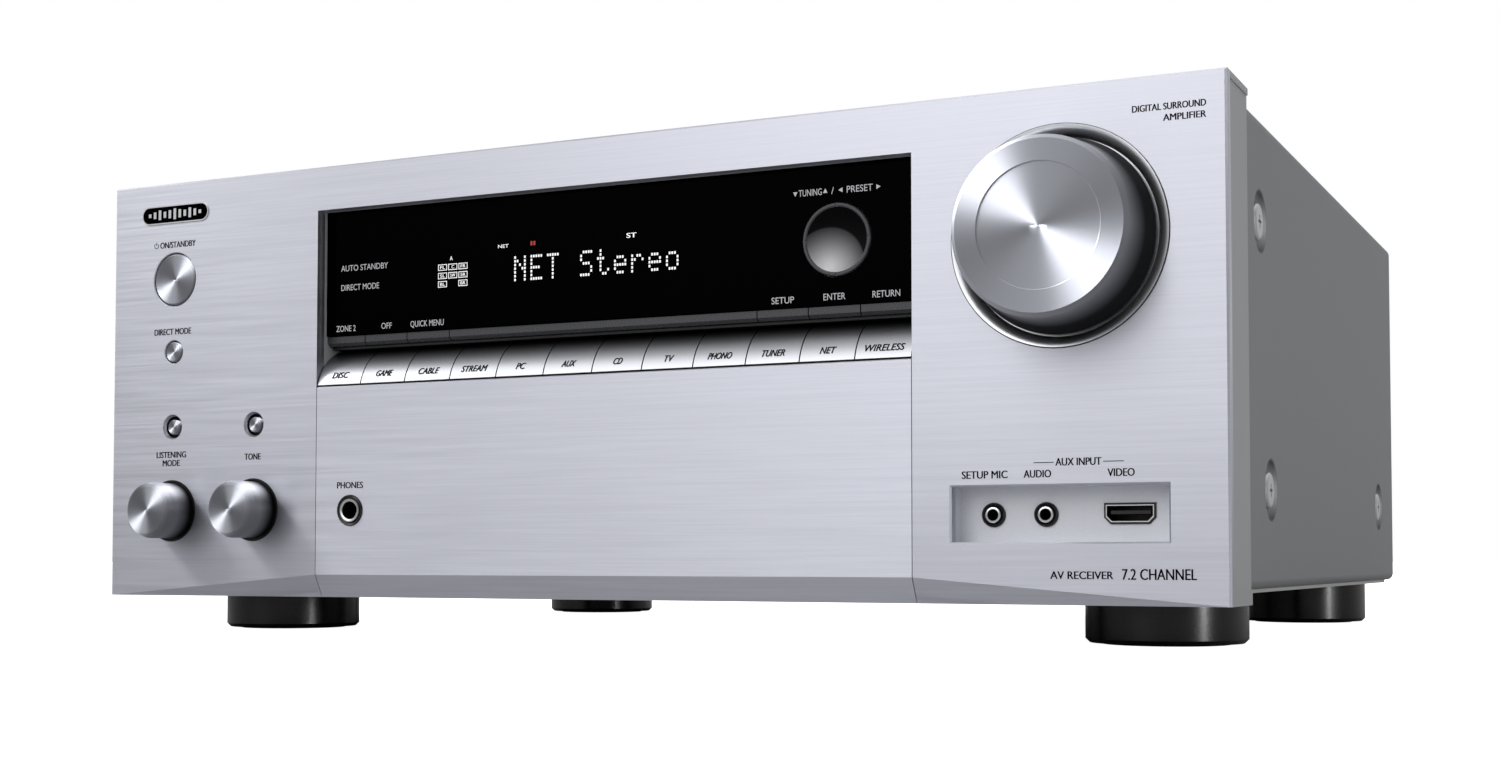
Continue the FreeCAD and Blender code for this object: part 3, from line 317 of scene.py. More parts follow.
def board(name):
    """Solder mask with faint copper tracks under it."""
    g = Graph(name, Coat_Weight=0.3, Coat_Roughness=0.2)
    tracks = g.out("TexVoronoi", {"Vector": g.stretched(180, 180, 180), "Scale": 1.0},
                   distance="MANHATTAN")
    on_track = g.ramp(tracks, 0.30, 0.36)
    g.feed("Base Color", g.mix(on_track, rgb(0.02, 0.13, 0.06), rgb(0.03, 0.19, 0.09)))
    g.feed("Roughness", g.ramp(tracks, 0.2, 0.5, 0.35, 0.45))
    g.bump(tracks, 0.03 * MM)
    return g.material


def laminated(name):
    """A transformer core's stacked sheets."""
    g = Graph(name, Metallic=0.3)
    sheets = g.out("TexWave", {"Vector": g.stretched(0, 1, 0), "Scale": 320.0, "Distortion": 0.0},
                   bands_direction="Y")
    g.feed("Base Color", g.mix(sheets, rgb(0.05, 0.05, 0.055), rgb(0.14, 0.14, 0.145)))
    g.feed("Roughness", g.ramp(sheets, 0.0, 1.0, 0.45, 0.6))
    g.bump(sheets, 0.1 * MM)
    return g.material


SILVER = rgb(0.60, 0.61, 0.68)
TURNED = rgb(0.37, 0.38, 0.418)
PLATE = (0.33, 0.88, 1500.0, 0.04, 0.85)         # the front's rough, stretch, fine, swing and metal
# painted shade: how dark the front turns near its lower edge
LOW_EDGE_SHADE = 0.86
# buttons with painted shade, black, round them, and the gap in mm
SHADED_CUPS = (("mode_button", 1.4), ("tone_button", 1.4), ("power_button", 0.5), ("direct_button", 0.5))
SIDE_SHADE = (0.6, 15.0, 0.8)                          # painted shade down a turned part's side, where the table below has no other
# painted shade down the sides of these knobs, towards the plate
SIDE_SHADES = {
    "volume_knob": (0.6, 15.0, 0.06),
    "mode_knob": (5.5, 12.0, 0.03),
    "tone_knob": (5.5, 12.0, 0.03),
}
KEY_LOW, KEY_HIGH = (corner.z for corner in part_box("selector_key_01"))
KEY_SHADOW = (KEY_LOW + 0.3 * MM, KEY_HIGH + 0.2 * MM)    # the dark under the strip above the keys

SLOTS = {
    "bezel_silver": lambda name: painted(name, rgb(0.44, 0.445, 0.46), 0.45, shine=0.25),
    "window_black": lambda name: painted(name, rgb(0.0001, 0.0001, 0.0001), 0.1,
                                         height=0.0003, shine=0.01),
    "strip_grey": lambda name: painted(name, rgb(0.045, 0.046, 0.05), 0.26, height=0.002),
    "key_silver": lambda name: polished(name, rgb(0.50, 0.51, 0.54), 0.38, KEY_SHADOW),
    "dish_metal": dish_metal,
    "black_plastic": lambda name: painted(name, rgb(0.008, 0.008, 0.008), 0.35),
    "foot_black": lambda name: painted(name, rgb(0.001, 0.001, 0.001), 0.22, height=0.002),
    "pad_rubber": lambda name: painted(name, rgb(0.02, 0.02, 0.02), 0.8, grain=1500.0, height=0.06),
    "cover_paint": lambda name: dished_paint(name, rgb(0.29, 0.295, 0.312), 0.5),
    "chassis_steel": lambda name: brushed(name, rgb(0.52, 0.52, 0.51), 0.42, 0.3, 900.0, 0.08),
    "rear_paint": lambda name: painted(name, rgb(0.022, 0.022, 0.023), 0.5,
                                       grain=1800.0, height=0.03),
    "screw_steel": lambda name: polished(name, rgb(0.62, 0.62, 0.65), 0.4),
    "display_glass": lambda name: painted(name, rgb(0.03, 0.035, 0.035), 0.1),
    "board_green": board,
    "core_steel": laminated,
    "sink_alloy": lambda name: brushed(name, rgb(0.5, 0.51, 0.52), 0.4, 0.4, 700.0, 0.1),
    "part_black": lambda name: painted(name, rgb(0.012, 0.012, 0.012), 0.45,
                                       grain=1600.0, height=0.03),
    "can_sleeve": lambda name: painted(name, rgb(0.01, 0.012, 0.03), 0.3),
    "cap_red": lambda name: painted(name, rgb(0.42, 0.012, 0.012), 0.3, coat=0.4),
    "cap_black": lambda name: painted(name, rgb(0.01, 0.01, 0.01), 0.3, coat=0.4),
    "socket_metal": lambda name: polished(name, rgb(0.70, 0.68, 0.64), 0.2),
    "port_steel": lambda name: brushed(name, rgb(0.6, 0.6, 0.61), 0.3, 0.4, 1500.0, 0.06),
}
OWN_LOOKS = {              # nodes that don't share the material of their slot
    "front_plate": lambda: brushed("plate_silver", SILVER, *PLATE, LOW_EDGE_SHADE, SHADED_CUPS),
    "centre_panel": lambda: brushed("panel_silver", shade(SILVER, 1.05), *PLATE),
    # lighter than the other silver paint: partly its own silver, partly painted light that lifts the
    # shade in its recess
    "input_tray": lambda: painted("tray_silver", rgb(0.73, 0.74, 0.79), 0.4, metal=0.2),
    "cursor_disc": lambda: lit_dome("cursor_smoked", "cursor_disc"),
    "cursor_ring": lambda: painted("cursor_grey", rgb(0.05, 0.05, 0.056), 0.3, height=0.001),
}


def paint_nodes():
    """Every frame node gets the material of its slot; a turned part has one about its own axis."""
    made = {}
    for part in frame["record"]["subparts"]:
        name, slot = part["node"], part["material_slot"]
        if slot == "knob_metal":
            material = turned_metal("turned_" + name, name, TURNED, SIDE_SHADES.get(name, SIDE_SHADE))
        elif name in OWN_LOOKS:
            material = OWN_LOOKS[name]()
        else:
            if slot not in made:
                made[slot] = SLOTS[slot](slot)
            material = made[slot]
        mesh = NODES[name].data
        mesh.materials.clear()
        mesh.materials.append(material)


# ---- meshes -------------------------------------------------------------------------
RING_STEPS = 96


def link(name, mesh, material, body):
    obj = bpy.data.objects.new(name, mesh)
    bpy.context.scene.collection.objects.link(obj)
    mesh.materials.clear()
    mesh.materials.append(material)
    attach(obj, body)


def mesh_of(name, bm, smooth=False):
    bmesh.ops.recalc_face_normals(bm, faces=bm.faces)
    mesh = bpy.data.meshes.new(name)
    bm.to_mesh(mesh)
    bm.free()
    if smooth:
        mesh.shade_smooth()
        mesh.set_sharp_from_angle(angle=math.radians(35))
    return mesh


def case_piece(name, bm, material, smooth=False):
    link(name, mesh_of(name, bm, smooth), material, "case")


def add_slab(bm, outline, front, back):
    """A flat closed prism along the depth; outline is a list of (x, z)."""
    near = [bm.verts.new((x, front, z)) for x, z in outline]
    far = [bm.verts.new((x, back, z)) for x, z in outline]
    bm.faces.new(near)
    bm.faces.new(far[::-1])
    for i in range(len(outline)):
        j = (i + 1) % len(outline)
        bm.faces.new((near[i], far[i], far[j], near[j]))


def add_print(bm, outline, face):
    """A printed mark on a face that looks to the front."""
    add_slab(bm, outline, face - SKIN, face)


def rectangle(x, z, width, height):
    return [(x - width / 2, z - height / 2), (x + width / 2, z - height / 2),
            (x + width / 2, z + height / 2), (x - width / 2, z + height / 2)]


def turned_ring(at, outline):
    """A turned closed ring; outline is a list of (radius, y)."""
    bm = bmesh.new()
    loops = []
    for i in range(RING_STEPS):
        a = 2 * math.pi * i / RING_STEPS
        loops.append([bm.verts.new((at.x + r * math.cos(a), y, at.z + r * math.sin(a)))
                      for r, y in outline])
    count = len(outline)
    for i in range(RING_STEPS):
        here, there = loops[i], loops[(i + 1) % RING_STEPS]
        for k in range(count):
            m = (k + 1) % count
            bm.faces.new((here[k], here[m], there[m], there[k]))
    return bm


# ---- printed marks ------------------------------------------------------------------
BOLD = 0.12 * MM           # usual widening of a letter's strokes
INK_BOLD = 0.18 * MM


def glyphs(words):
    """A text's filled mesh at size 1, with its origin at the middle of its base line."""
    curve = bpy.data.curves.new("glyphs", "FONT")
    curve.body = words
    curve.align_x = "CENTER"
    curve.resolution_u = 4
    curve.extrude = 0.5
    holder = bpy.data.objects.new("glyphs", curve)
    bpy.context.scene.collection.objects.link(holder)
    graph = bpy.context.evaluated_depsgraph_get()
    mesh = bpy.data.meshes.new_from_object(holder.evaluated_get(graph))
    bpy.data.objects.remove(holder)
    bpy.data.curves.remove(curve)
    return mesh


def extent(mesh, axis):
    values = [v.co[axis] for v in mesh.vertices]
    return min(values), max(values)


CAP = extent(glyphs("H"), 1)[1]        # height of a capital letter at size 1


def label(name, words, at, width, cap, material, surface,
          body="case", facing=-1, lean=0.0, bold=BOLD):
    """Words centred at (x, z) on a surface; surface gives its depth at (x, z).

    width is that of the words and cap the height of a capital letter; facing is -1 on
    the front and 1 on the rear.
    """
    mesh = glyphs(words)
    low, high = extent(mesh, 0)
    stretch = (width - bold) / (high - low)
    for v in mesh.vertices:
        z = (v.co.y / CAP - 0.5) * cap
        x = ((v.co.x - (low + high) / 2) * stretch + z * lean) * -facing
        v.co = (x - bold / 2, SKIN if v.co.z > 0 else 0.0, z)
    bm = bmesh.new()
    bm.from_mesh(mesh)
    twin = bmesh.ops.duplicate(bm, geom=bm.verts[:] + bm.edges[:] + bm.faces[:])["geom"]
    moved = [g for g in twin if isinstance(g, bmesh.types.BMVert)]
    bmesh.ops.translate(bm, vec=(bold, 0, 0), verts=moved)
    for v in bm.verts:
        x, z = at[0] + v.co.x, at[1] + v.co.z
        v.co = (x, surface(x, z) + facing * v.co.y, z)
    bm.to_mesh(mesh)
    bm.free()
    mesh.name = name
    link(name, mesh, material, body)


def flat(depth):
    return lambda x, z: depth


def print_words(marks, material, face, bold):
    """Labels placed from anchors.

    Each mark holds a name, words and an anchor's (x, z), and in mm: right, up, width, cap.
    """
    for name, words, (x, z), right, up, width, cap in marks:
        label("label_" + name, words, (x + right * MM, z + up * MM), width * MM, cap * MM,
              material, flat(face), bold=bold)


def front_labels(ink, white):
    """Everything printed on the front plate and behind the display window."""
    named = ("power_button", "direct_button", "mode_button", "tone_button", "phones_jack",
             "input_tray", "cursor_disc")
    power, direct, mode, tone, phones, tray, cursor = (
        (centre(node).x, centre(node).z) for node in named)
    below_tray, corner, strip = (tray[0], PLATE_LOW), (0, PLATE_LOW), (0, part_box("key_strip")[1].z)
    print_words((
        ("power", "ON/STANDBY", power, 1.4, 13.6, 17.8, 2.3),
        ("direct", "DIRECT MODE", direct, -0.6, 7.9, 18.4, 2.3),
        ("listening", "LISTENING", mode, -0.4, -10.7, 14.8, 2.3),
        ("mode", "MODE", mode, -0.4, -13.9, 8.6, 2.3),
        ("tone", "TONE", tone, -0.3, -12.1, 7.8, 2.3),
        ("phones", "PHONES", phones, 0, 9.2, 11.8, 2.3),
        ("mic", "SETUP MIC", tray, -23.2, 12.3, 15.0, 2.3),
        ("audio", "AUDIO", tray, -6.2, 12.3, 8.8, 2.3),
        ("aux", "AUX INPUT", tray, 6.7, 15.8, 14.4, 2.3),
        ("video", "VIDEO", tray, 19.9, 12.3, 8.4, 2.3),
        ("receiver", "AV RECEIVER", below_tray, 7.5, 9.2, 19.7, 2.3),
        ("channels", "7.2 CHANNEL", below_tray, 31.2, 9.5, 22.5, 3.2),
        ("surround", "DIGITAL SURROUND", corner, 200.2, 149.6, 22.4, 2.0),
        ("amplifier", "AMPLIFIER", corner, 204.9, 146.2, 13.0, 2.0),
    ), ink, FACE, INK_BOLD)
    print_words((
        ("standby", "AUTO STANDBY", strip, -100.5, 25.3, 21.3, 2.15),
        ("pure", "DIRECT MODE", strip, -102.4, 18.1, 17.2, 2.15),
        ("zone", "ZONE 2", strip, -108.7, 2.9, 8.8, 2.15),
        ("off", "OFF", strip, -90.3, 3.0, 4.6, 2.15),
        ("menu", "QUICK MENU", strip, -72.3, 3.0, 14.6, 2.15),
        ("setup", "SETUP", strip, 70.1, 2.9, 8.2, 2.15),
        ("enter", "ENTER", strip, 88.7, 3.1, 7.8, 2.15),
        ("return", "RETURN", strip, 106.9, 3.0, 9.6, 2.15),
        ("tuning", "TUNING", cursor, -9.6, 16.2, 8.3, 2.15),
        ("slash", "/", cursor, -1.6, 16.2, 0.9, 2.15),
        ("preset", "PRESET", cursor, 8.0, 16.2, 9.1, 2.15),
    ), white, GLASS, 0.0)
    aux_rules(tray, ink)
    tuning_arrows(cursor, white)
    power_mark(power, ink)


def aux_rules(tray, ink):
    """A short rule at each side of AUX INPUT."""
    bm = bmesh.new()
    for side in (-1, 1):
        x, z = tray[0] + (6.7 + side * 10.9) * MM, tray[1] + 15.7 * MM
        add_print(bm, rectangle(x, z, 6.4 * MM, 0.25 * MM), FACE)
    case_piece("aux_rules", bm, ink)


def tuning_arrows(cursor, white):
    """Triangles beside TUNING and PRESET, each turned by its own angle."""
    bm = bmesh.new()
    z, r = cursor[1] + 16.2 * MM, 0.95 * MM
    for right, turn in ((-15.0, 270), (-4.2, 90), (1.4, 180), (14.4, 0)):
        x = cursor[0] + right * MM
        corners = [math.radians(turn + a) for a in (0, 125, 235)]
        add_print(bm, [(x + r * math.cos(a), z + r * math.sin(a)) for a in corners], GLASS)
    case_piece("tuning_arrows", bm, white)


def power_mark(power, ink):
    """The standby mark: an open ring with an upright bar."""
    bm = bmesh.new()
    x, z = power[0] - 9.4 * MM, power[1] + 13.6 * MM
    inner, outer, steps = 0.85 * MM, 1.12 * MM, 20
    begin, sweep = 130, 280
    angles = [math.radians(begin + sweep * i / steps) for i in range(steps + 1)]
    for a, b in zip(angles, angles[1:]):
        corners = ((inner, a), (outer, a), (outer, b), (inner, b))
        add_print(bm, [(x + r * math.cos(t), z + r * math.sin(t)) for r, t in corners], FACE)
    add_print(bm, rectangle(x, z + 0.7 * MM, 0.26 * MM, 1.3 * MM), FACE)
    case_piece("power_mark", bm, ink)


KEY_WORDS = ("DISC", "GAME", "CABLE", "STREAM", "PC", "AUX",
             "CD", "TV", "PHONO", "TUNER", "NET", "WIRELESS")
LETTER = 1.75 * MM         # mean width of one letter on a key or at the rear
KEY_CURVE = 20.0 * MM      # radius of the keys' rounded fronts
KEY_AXIS_DROP = 5.5 * MM   # that arc's axis lies this far below a key
KEY_STAND_OFF = 0.12 * MM  # of the words from the arc


def key_labels(ink):
    """Words on the rounded fronts of the selector keys."""
    for i, words in enumerate(KEY_WORDS):
        key = "selector_key_%02d" % (i + 1)
        low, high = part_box(key)
        axis_z = low.z - KEY_AXIS_DROP
        axis_y = low.y + math.sqrt(KEY_CURVE ** 2 - (low.z - axis_z) ** 2)

        def surface(x, z):
            return axis_y - math.sqrt(KEY_CURVE ** 2 - (z - axis_z) ** 2) - KEY_STAND_OFF

        at = ((low.x + high.x) / 2, low.z + 3.5 * MM)
        label("label_" + key, words, at, len(words) * LETTER, 2.2 * MM, ink, surface, key, lean=0.2)


# ---- display ------------------------------------------------------------------------
DOTS = {
    "N": ("10001", "11001", "10101", "10011", "10001", "10001", "10001"),
    "E": ("11111", "10000", "10000", "11110", "10000", "10000", "11111"),
    "T": ("11111", "00100", "00100", "00100", "00100", "00100", "00100"),
    "S": ("01111", "10000", "10000", "01110", "00001", "00001", "11110"),
    "t": ("01000", "01000", "11100", "01000", "01000", "01001", "00110"),
    "e": ("00000", "00000", "01110", "10001", "11111", "10000", "01110"),
    "r": ("00000", "00000", "10110", "11001", "10000", "10000", "10000"),
    "o": ("00000", "00000", "01110", "10001", "10001", "10001", "01110"),
}
DISPLAY_WORDS = "NET Stereo"
DISPLAY_START = (-34.6 * MM, 134.8 * MM)          # middle of the first letter's upper left dot
LETTER_PITCH = 6.8 * MM
DOT_PITCH, DOT_SIZE = (1.02 * MM, 1.33 * MM), (0.66 * MM, 0.86 * MM)
SPEAKERS = (("FL", "C", "FR"), ("SL", "SW", "SR"), ("BL", "", "BR"))
SPEAKER_START, SPEAKER_PITCH = (-61.2, 133.3), (4.43, 3.05)         # the upper middle one, in mm
SPEAKER_BOX = (3.4, 2.3, 0.22)         # width, height and line in mm
SPEAKER_LETTER, SPEAKER_CAP = 1.05 * MM, 1.1 * MM
RECORD_LIGHT = (-27.2, 139.4)          # in mm; two upright bars
SIGNS = (                  # name, words, x and z, width, cap in mm, widening
    ("display_source", "NET", -39.6, 139.2, 4.4, 1.2, 0.0),
    ("display_channel", "A", -61.9, 136.4, 1.2, 1.4, 0.0),
    ("display_stereo", "ST", 12.7, 139.3, 4.0, 1.6, BOLD),
)


def display(lit, red):
    """Lit dots and small signs, seen in the black window."""
    bm = bmesh.new()
    for i, letter in enumerate(DISPLAY_WORDS):
        for row, line in enumerate(DOTS.get(letter, ())):
            for column, dot in enumerate(line):
                if dot == "1":
                    x = DISPLAY_START[0] + i * LETTER_PITCH + column * DOT_PITCH[0]
                    z = DISPLAY_START[1] - row * DOT_PITCH[1]
                    add_print(bm, rectangle(x, z, *DOT_SIZE), GLASS)
    speaker_signs(bm, lit)
    case_piece("display_dots", bm, lit)
    for name, words, x, z, width, cap, bold in SIGNS:
        label(name, words, (x * MM, z * MM), width * MM, cap * MM, lit, flat(GLASS), bold=bold)
    bm = bmesh.new()
    for side in (-1, 1):
        x, z = (RECORD_LIGHT[0] + side * 0.6) * MM, RECORD_LIGHT[1] * MM
        add_print(bm, rectangle(x, z, 0.8 * MM, 1.5 * MM), GLASS)
    case_piece("display_record_light", bm, red)


def speaker_signs(bm, lit):
    """A block of framed speaker names; the frames go into the display's own bmesh."""
    wide, tall, line = (size * MM for size in SPEAKER_BOX)
    for row, names in enumerate(SPEAKERS):
        for column, words in enumerate(names):
            if not words:
                continue
            x = (SPEAKER_START[0] + (column - 1) * SPEAKER_PITCH[0]) * MM
            z = (SPEAKER_START[1] - row * SPEAKER_PITCH[1]) * MM
            for side in (-1, 1):
                add_print(bm, rectangle(x + side * 1.8 * MM, z, line, tall), GLASS)
                add_print(bm, rectangle(x, z + side * 1.0 * MM, wide, line), GLASS)
            label("speaker_" + words, words, (x, z), len(words) * SPEAKER_LETTER, SPEAKER_CAP,
                  lit, flat(GLASS), bold=0.0)


# ---- small metalwork ----------------------------------------------------------------
BAR_HEIGHTS = (1.4, 2.6, 3.8, 2.4, 3.2, 4.2, 3.2, 2.4, 3.8, 2.6, 1.4)       # in mm


def badge(dark, bright):
    """A plaque with round ends and a plain row of bars, at the upper left of the plate."""
    x, z = centre("power_button").x, PLATE_LOW + 147.4 * MM
    half, r, steps = 13.0 * MM, 3.1 * MM, 16
    layers = (("badge_rim", 0.45 * MM, 0.30 * MM, 0.0, bright),
              ("badge_face", 0.0, 0.34 * MM, 0.28 * MM, dark))
    for name, grow, front, back, material in layers:
        outline = []
        for side, start in ((1, -90), (-1, 90)):
            for i in range(steps + 1):
                a = math.radians(start + 180 * i / steps)
                outline.append((x + side * half + (r + grow) * math.cos(a),
                                z + (r + grow) * math.sin(a)))
        bm = bmesh.new()
        add_slab(bm, outline, FACE - front, FACE - back)
        case_piece(name, bm, material)
    bm = bmesh.new()
    for i, tall in enumerate(BAR_HEIGHTS):
        bar = rectangle(x + (i - len(BAR_HEIGHTS) // 2) * 2.5 * MM, z, 1.3 * MM, tall * MM)
        add_slab(bm, bar, FACE - 0.42 * MM, FACE - 0.32 * MM)
    case_piece("badge_bars", bm, bright)


def key_gap_shade_bar(black):
    """A black bar put in the gap between the dark strip and the selector keys, standing in for the
    shade there.
    """
    strip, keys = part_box("key_strip"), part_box("selector_key_01")
    low, high = keys[1].z + 0.12 * MM, strip[0].z - 0.12 * MM
    half, front = -keys[0].x - 0.3 * MM, strip[0].y + 2.5 * MM
    bm = bmesh.new()
    add_slab(bm, [(-half, low), (half, low), (half, high), (-half, high)], front, front + 6.0 * MM)
    long_front_edges = [e for e in bm.edges if abs(e.verts[0].co.x - e.verts[1].co.x) > half
                        and e.verts[0].co.y < front + MM]
    bmesh.ops.bevel(bm, geom=long_front_edges, offset=0.2 * MM, segments=2, affect="EDGES")
    case_piece("key_gap_shade_bar", bm, black)


def socket_rings(bright):
    """Plated contact rings in the mouths of the headphone socket and the two small sockets."""
    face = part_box("phones_jack")[0].y
    profile = ((3.3, 0.9), (3.3, 0.15), (3.6, 0.02), (4.2, 0.02), (4.4, 0.5))
    outline = [(r * MM, face + deep * MM) for r, deep in profile]
    ring = turned_ring(centre("phones_jack"), outline)
    case_piece("phones_ring", ring, bright, smooth=True)
    low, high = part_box("mini_jacks")
    half = (high.z - low.z) / 2
    profile = ((1.80, 0.0), (1.85, -0.1), (2.35, -0.1), (2.5, 0.0))
    outline = [(r * MM, low.y + deep * MM) for r, deep in profile]
    for name, x in (("mic_ring", low.x + half), ("aux_ring", high.x - half)):
        ring = turned_ring(Vector((x, low.y, low.z + half)), outline)
        case_piece(name, ring, bright, smooth=True)


def port_lip(steel):
    """The folded steel edge in the mouth of the front video socket."""
    low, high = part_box("front_port")
    cut = 1.6 * MM         # of the lower corners
    loops = []
    for inset in (0.55 * MM, 0.85 * MM):
        x0, x1, z0, z1 = low.x + inset, high.x - inset, low.z + inset, high.z - inset
        loops.append([(x0, z1), (x1, z1), (x1, z0 + cut),
                      (x1 - cut, z0), (x0 + cut, z0), (x0, z0 + cut)])
    outer, inner = loops
    bm = bmesh.new()
    for i in range(len(outer)):
        j = (i + 1) % len(outer)
        add_print(bm, [outer[i], outer[j], inner[j], inner[i]], low.y)
    case_piece("front_port_lip", bm, steel)


# ---- rear print ---------------------------------------------------------------------
REAR_SPEAKERS = ("FRONT R", "FRONT L", "CENTER", "SURR R", "SURR L", "BACK R", "BACK L")
REAR_PORTS = tuple(("IN %d" % (i + 1), 146 - 27 * i) for i in range(5)) + (    # words, x in mm
    ("OUT", 11), ("NETWORK", 182), ("ANTENNA", -62))
REAR_INPUTS = tuple((str(i + 1), 190 - 19 * i) for i in range(8))


def rear_labels(white):
    """Plain function words beside the rear sockets."""
    caps, block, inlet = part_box("terminal_caps_red"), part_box("terminal_block"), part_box("ac_inlet")
    half = (caps[1].z - caps[0].z) / 2
    pitch = (caps[1].x - caps[0].x - 2 * half) / (len(REAR_SPEAKERS) - 1)
    over_block, over_inlet = block[1].z + 2.6 * MM, inlet[1].z + 4.0 * MM
    under_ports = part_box("rear_ports")[0].z - 3.2 * MM
    over_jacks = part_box("rca_jacks")[1].z + 2.4 * MM
    marks = [(words, caps[1].x - half - i * pitch, over_block)
             for i, words in enumerate(REAR_SPEAKERS)]
    marks += [(words, x * MM, under_ports) for words, x in REAR_PORTS]
    marks += [("AC IN", (inlet[0].x + inlet[1].x) / 2, over_inlet)]
    marks += [(words, x * MM, over_jacks) for words, x in REAR_INPUTS]
    for i, (words, x, z) in enumerate(marks):
        label("rear_label_%02d" % i, words, (x, z), len(words) * LETTER, 2.1 * MM, white,
              flat(BACK), facing=1, bold=0.1 * MM)


# ---- stage, light, camera -----------------------------------------------------------
FLOOR_RADIUS = 12.0
FLOOR_MIRRORED = (0.23, 0.46)    # its grey in the metal, at the left and at the right
FLOOR_GLOW = 1.15
WORLD_BASE = 0.30
WORLD_LEAST = 0.02
WORLD_LOBES = (           # (azimuth from the front, elevation), edge, full in degrees, strength
    ((-21, 34), 40, 3, 2.5),
    ((0, 90), 80, 10, 0.30),
    ((160, 30), 90, 20, 0.30),
    ((85, 10), 60, 20, -0.16),
    ((66, 6), 15, 5, 2.0),
)
AIM = Vector((0, 0, 0.09))       # every lamp looks here, from the same distance
LAMP_DISTANCE = 1.8
SMALL_TURNED = ("mode_knob", "tone_knob",
                "power_button", "direct_button", "mode_button", "tone_button")
SOFT_LIGHTS = (           # name, azimuth, elevation, size, watts, and the only nodes it lights
    ("key_light", -60, 35, (0.4, 0.4), 5.0, ()),
    ("volume_light", -66, 39, (1.15, 1.15), 250.0, ("volume_knob",)),
    ("dish_light", 35, 50, (1.4, 1.4), 45.0, ("volume_dish",)),
    ("foot_light", 66, 8, (0.2, 0.9), 16.0, ("feet",)),
    ("small_light", -8, 40, (1.2, 1.2), 42.0, SMALL_TURNED),
    ("top_light", 10, 80, (1.6, 1.6), 5.0, ()),
)
CAMERA_PLACE = (0.3376, -0.7339, 0.0286)
CAMERA_TILT, CAMERA_TURN = 2.25, 25.857          # degrees up, and to the left of straight back
CAMERA_LENS, CAMERA_SENSOR = 46.055, 36.0
CAMERA_SHIFT = (-0.0047, 0.067)


def direction(azimuth, elevation):
    """The way to a place seen from the object: azimuth from its front to its right, in degrees."""
    a, e = math.radians(azimuth), math.radians(elevation)
    return (math.sin(a) * math.cos(e), -math.cos(a) * math.cos(e), math.sin(e))


def stage():
    """A pale floor; what the metal mirrors of it is darker, as with grey card in front."""
    bm = bmesh.new()
    bmesh.ops.create_circle(bm, cap_ends=True, radius=FLOOR_RADIUS, segments=96)
    floor = bpy.data.objects.new("floor", mesh_of("floor", bm))
    bpy.context.scene.collection.objects.link(floor)
    g = Graph("floor", Roughness=0.8, Specular_IOR_Level=0.0)
    seen = g.node("LightPath").outputs["Is Camera Ray"]
    card = [rgb(level, level, level) for level in FLOOR_MIRRORED]
    mirrored = g.mix(g.ramp(g.along("X"), -0.8, 0.1), *card)
    pale = g.mix(g.grains(1.5), rgb(0.86, 0.86, 0.86), rgb(0.88, 0.88, 0.88))
    g.feed("Base Color", g.mix(seen, mirrored, pale))
    g.feed("Emission Color", pale)
    g.feed("Emission Strength", g.math("MULTIPLY", seen, FLOOR_GLOW))
    floor.data.materials.append(g.material)


def soft_light(name, azimuth, elevation, size, power, lit):
    """A soft box that looks at the object; where lit names nodes, it lights only those."""
    data = bpy.data.lights.new(name, "AREA")
    data.shape = "ELLIPSE"
    data.size, data.size_y = size
    data.energy = power
    back = Vector(direction(azimuth, elevation))
    lamp = bpy.data.objects.new(name, data)
    bpy.context.scene.collection.objects.link(lamp)
    lamp.location = AIM + back * LAMP_DISTANCE
    lamp.rotation_euler = (-back).to_track_quat("-Z", "Y").to_euler()
    if lit:
        lamp.light_linking.receiver_collection = bpy.data.collections.new(name)
        for node in lit:
            lamp.light_linking.receiver_collection.objects.link(NODES[node])


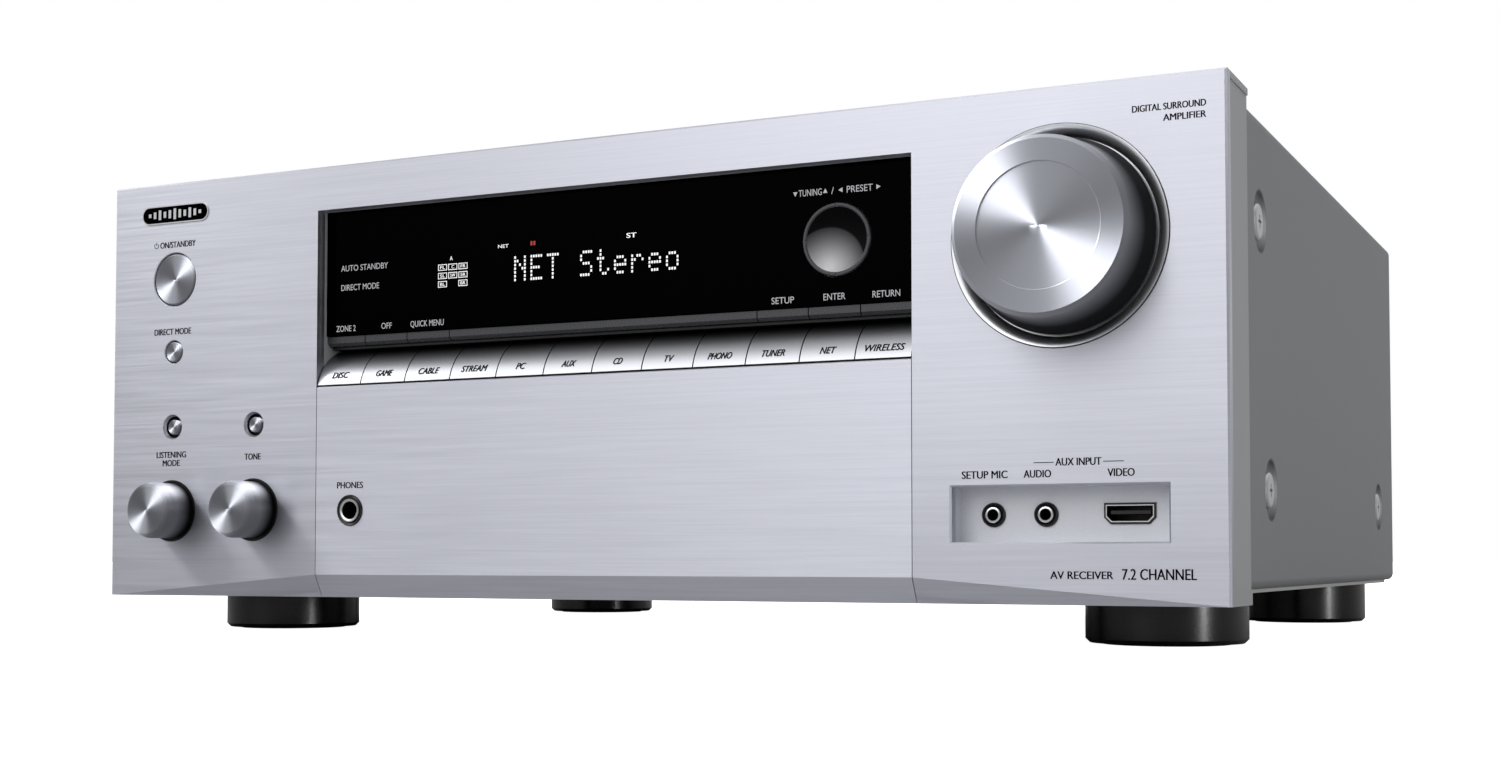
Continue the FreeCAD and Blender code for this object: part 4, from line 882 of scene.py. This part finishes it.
def world():
    """White behind the object; what lights it and mirrors in it is a dim sky with soft patches."""
    made = bpy.data.worlds.new("studio")
    bpy.context.scene.world = made
    made.use_nodes = True
    tree = made.node_tree
    tree.nodes.clear()

    def out(kind, inputs, **props):
        return add_node(tree, kind, inputs, **props).outputs[0]

    way = add_node(tree, "TexCoord").outputs["Generated"]

    def lobe(towards, edge, full, strength):
        """A soft patch: nothing beyond edge degrees from a direction, strength within full."""
        dot = add_node(tree, "VectorMath", {0: way, 1: direction(*towards)},
                       operation="DOT_PRODUCT")
        away = out("Math", {0: dot.outputs["Value"]}, operation="ARCCOSINE")
        span = {"From Min": math.radians(edge), "From Max": math.radians(full)}
        return out("MapRange", {"Value": away, **span, "To Min": 0.0, "To Max": strength},
                   interpolation_type="SMOOTHSTEP")

    value = WORLD_BASE
    for patch in WORLD_LOBES:
        value = out("Math", {0: value, 1: lobe(*patch)}, operation="ADD")
    value = out("Math", {0: value, 1: WORLD_LEAST}, operation="MAXIMUM")
    seen = add_node(tree, "LightPath").outputs["Is Camera Ray"]
    value = out("Mix", {0: seen, 2: value, 3: 1.0}, data_type="FLOAT")
    glow = out("Background", {"Color": rgb(1.0, 1.0, 1.0), "Strength": value})
    add_node(tree, "OutputWorld", {0: glow})


def camera():
    """The photograph's view of the object."""
    data = bpy.data.cameras.new("camera")
    data.lens, data.sensor_width = CAMERA_LENS, CAMERA_SENSOR
    data.shift_x, data.shift_y = CAMERA_SHIFT
    data.clip_start, data.clip_end = 0.02, 50.0
    made = bpy.data.objects.new("camera", data)
    bpy.context.scene.collection.objects.link(made)
    made.location = CAMERA_PLACE
    made.rotation_euler = (math.radians(90 + CAMERA_TILT), 0, math.radians(CAMERA_TURN))
    bpy.context.scene.camera = made
    bpy.context.scene.view_settings.view_transform = "Standard"


# ---- all ----------------------------------------------------------------------------
paint_nodes()
ink = painted("ink", rgb(0.004, 0.004, 0.005), 0.6, shine=0.1)
# the white print glows though it is no lamp: painted light that keeps it bright
white_ink_glow = glowing("white_ink_glow", rgb(0.75, 0.75, 0.78), 0.6)
lit_dots = glowing("lit_dots", rgb(1.0, 1.0, 1.0), 1.15)
red_light = glowing("red_light", rgb(0.8, 0.01, 0.01), 0.5)
chrome = polished("chrome", rgb(0.8, 0.8, 0.82), 0.1)
front_labels(ink, white_ink_glow)
key_labels(ink)
display(lit_dots, red_light)
badge(SLOTS["window_black"]("badge_black"), chrome)
socket_rings(chrome)
port_lip(SLOTS["port_steel"]("lip_steel"))
rear_labels(painted("rear_print", rgb(0.72, 0.72, 0.72), 0.6))
# a dark bar that stands in for the shade in the gap above the keys
key_gap_shade_bar(painted("gap_shade_black", rgb(0.006, 0.006, 0.007), 0.4))
stage()
world()
for values in SOFT_LIGHTS:
    soft_light(*values)
camera()
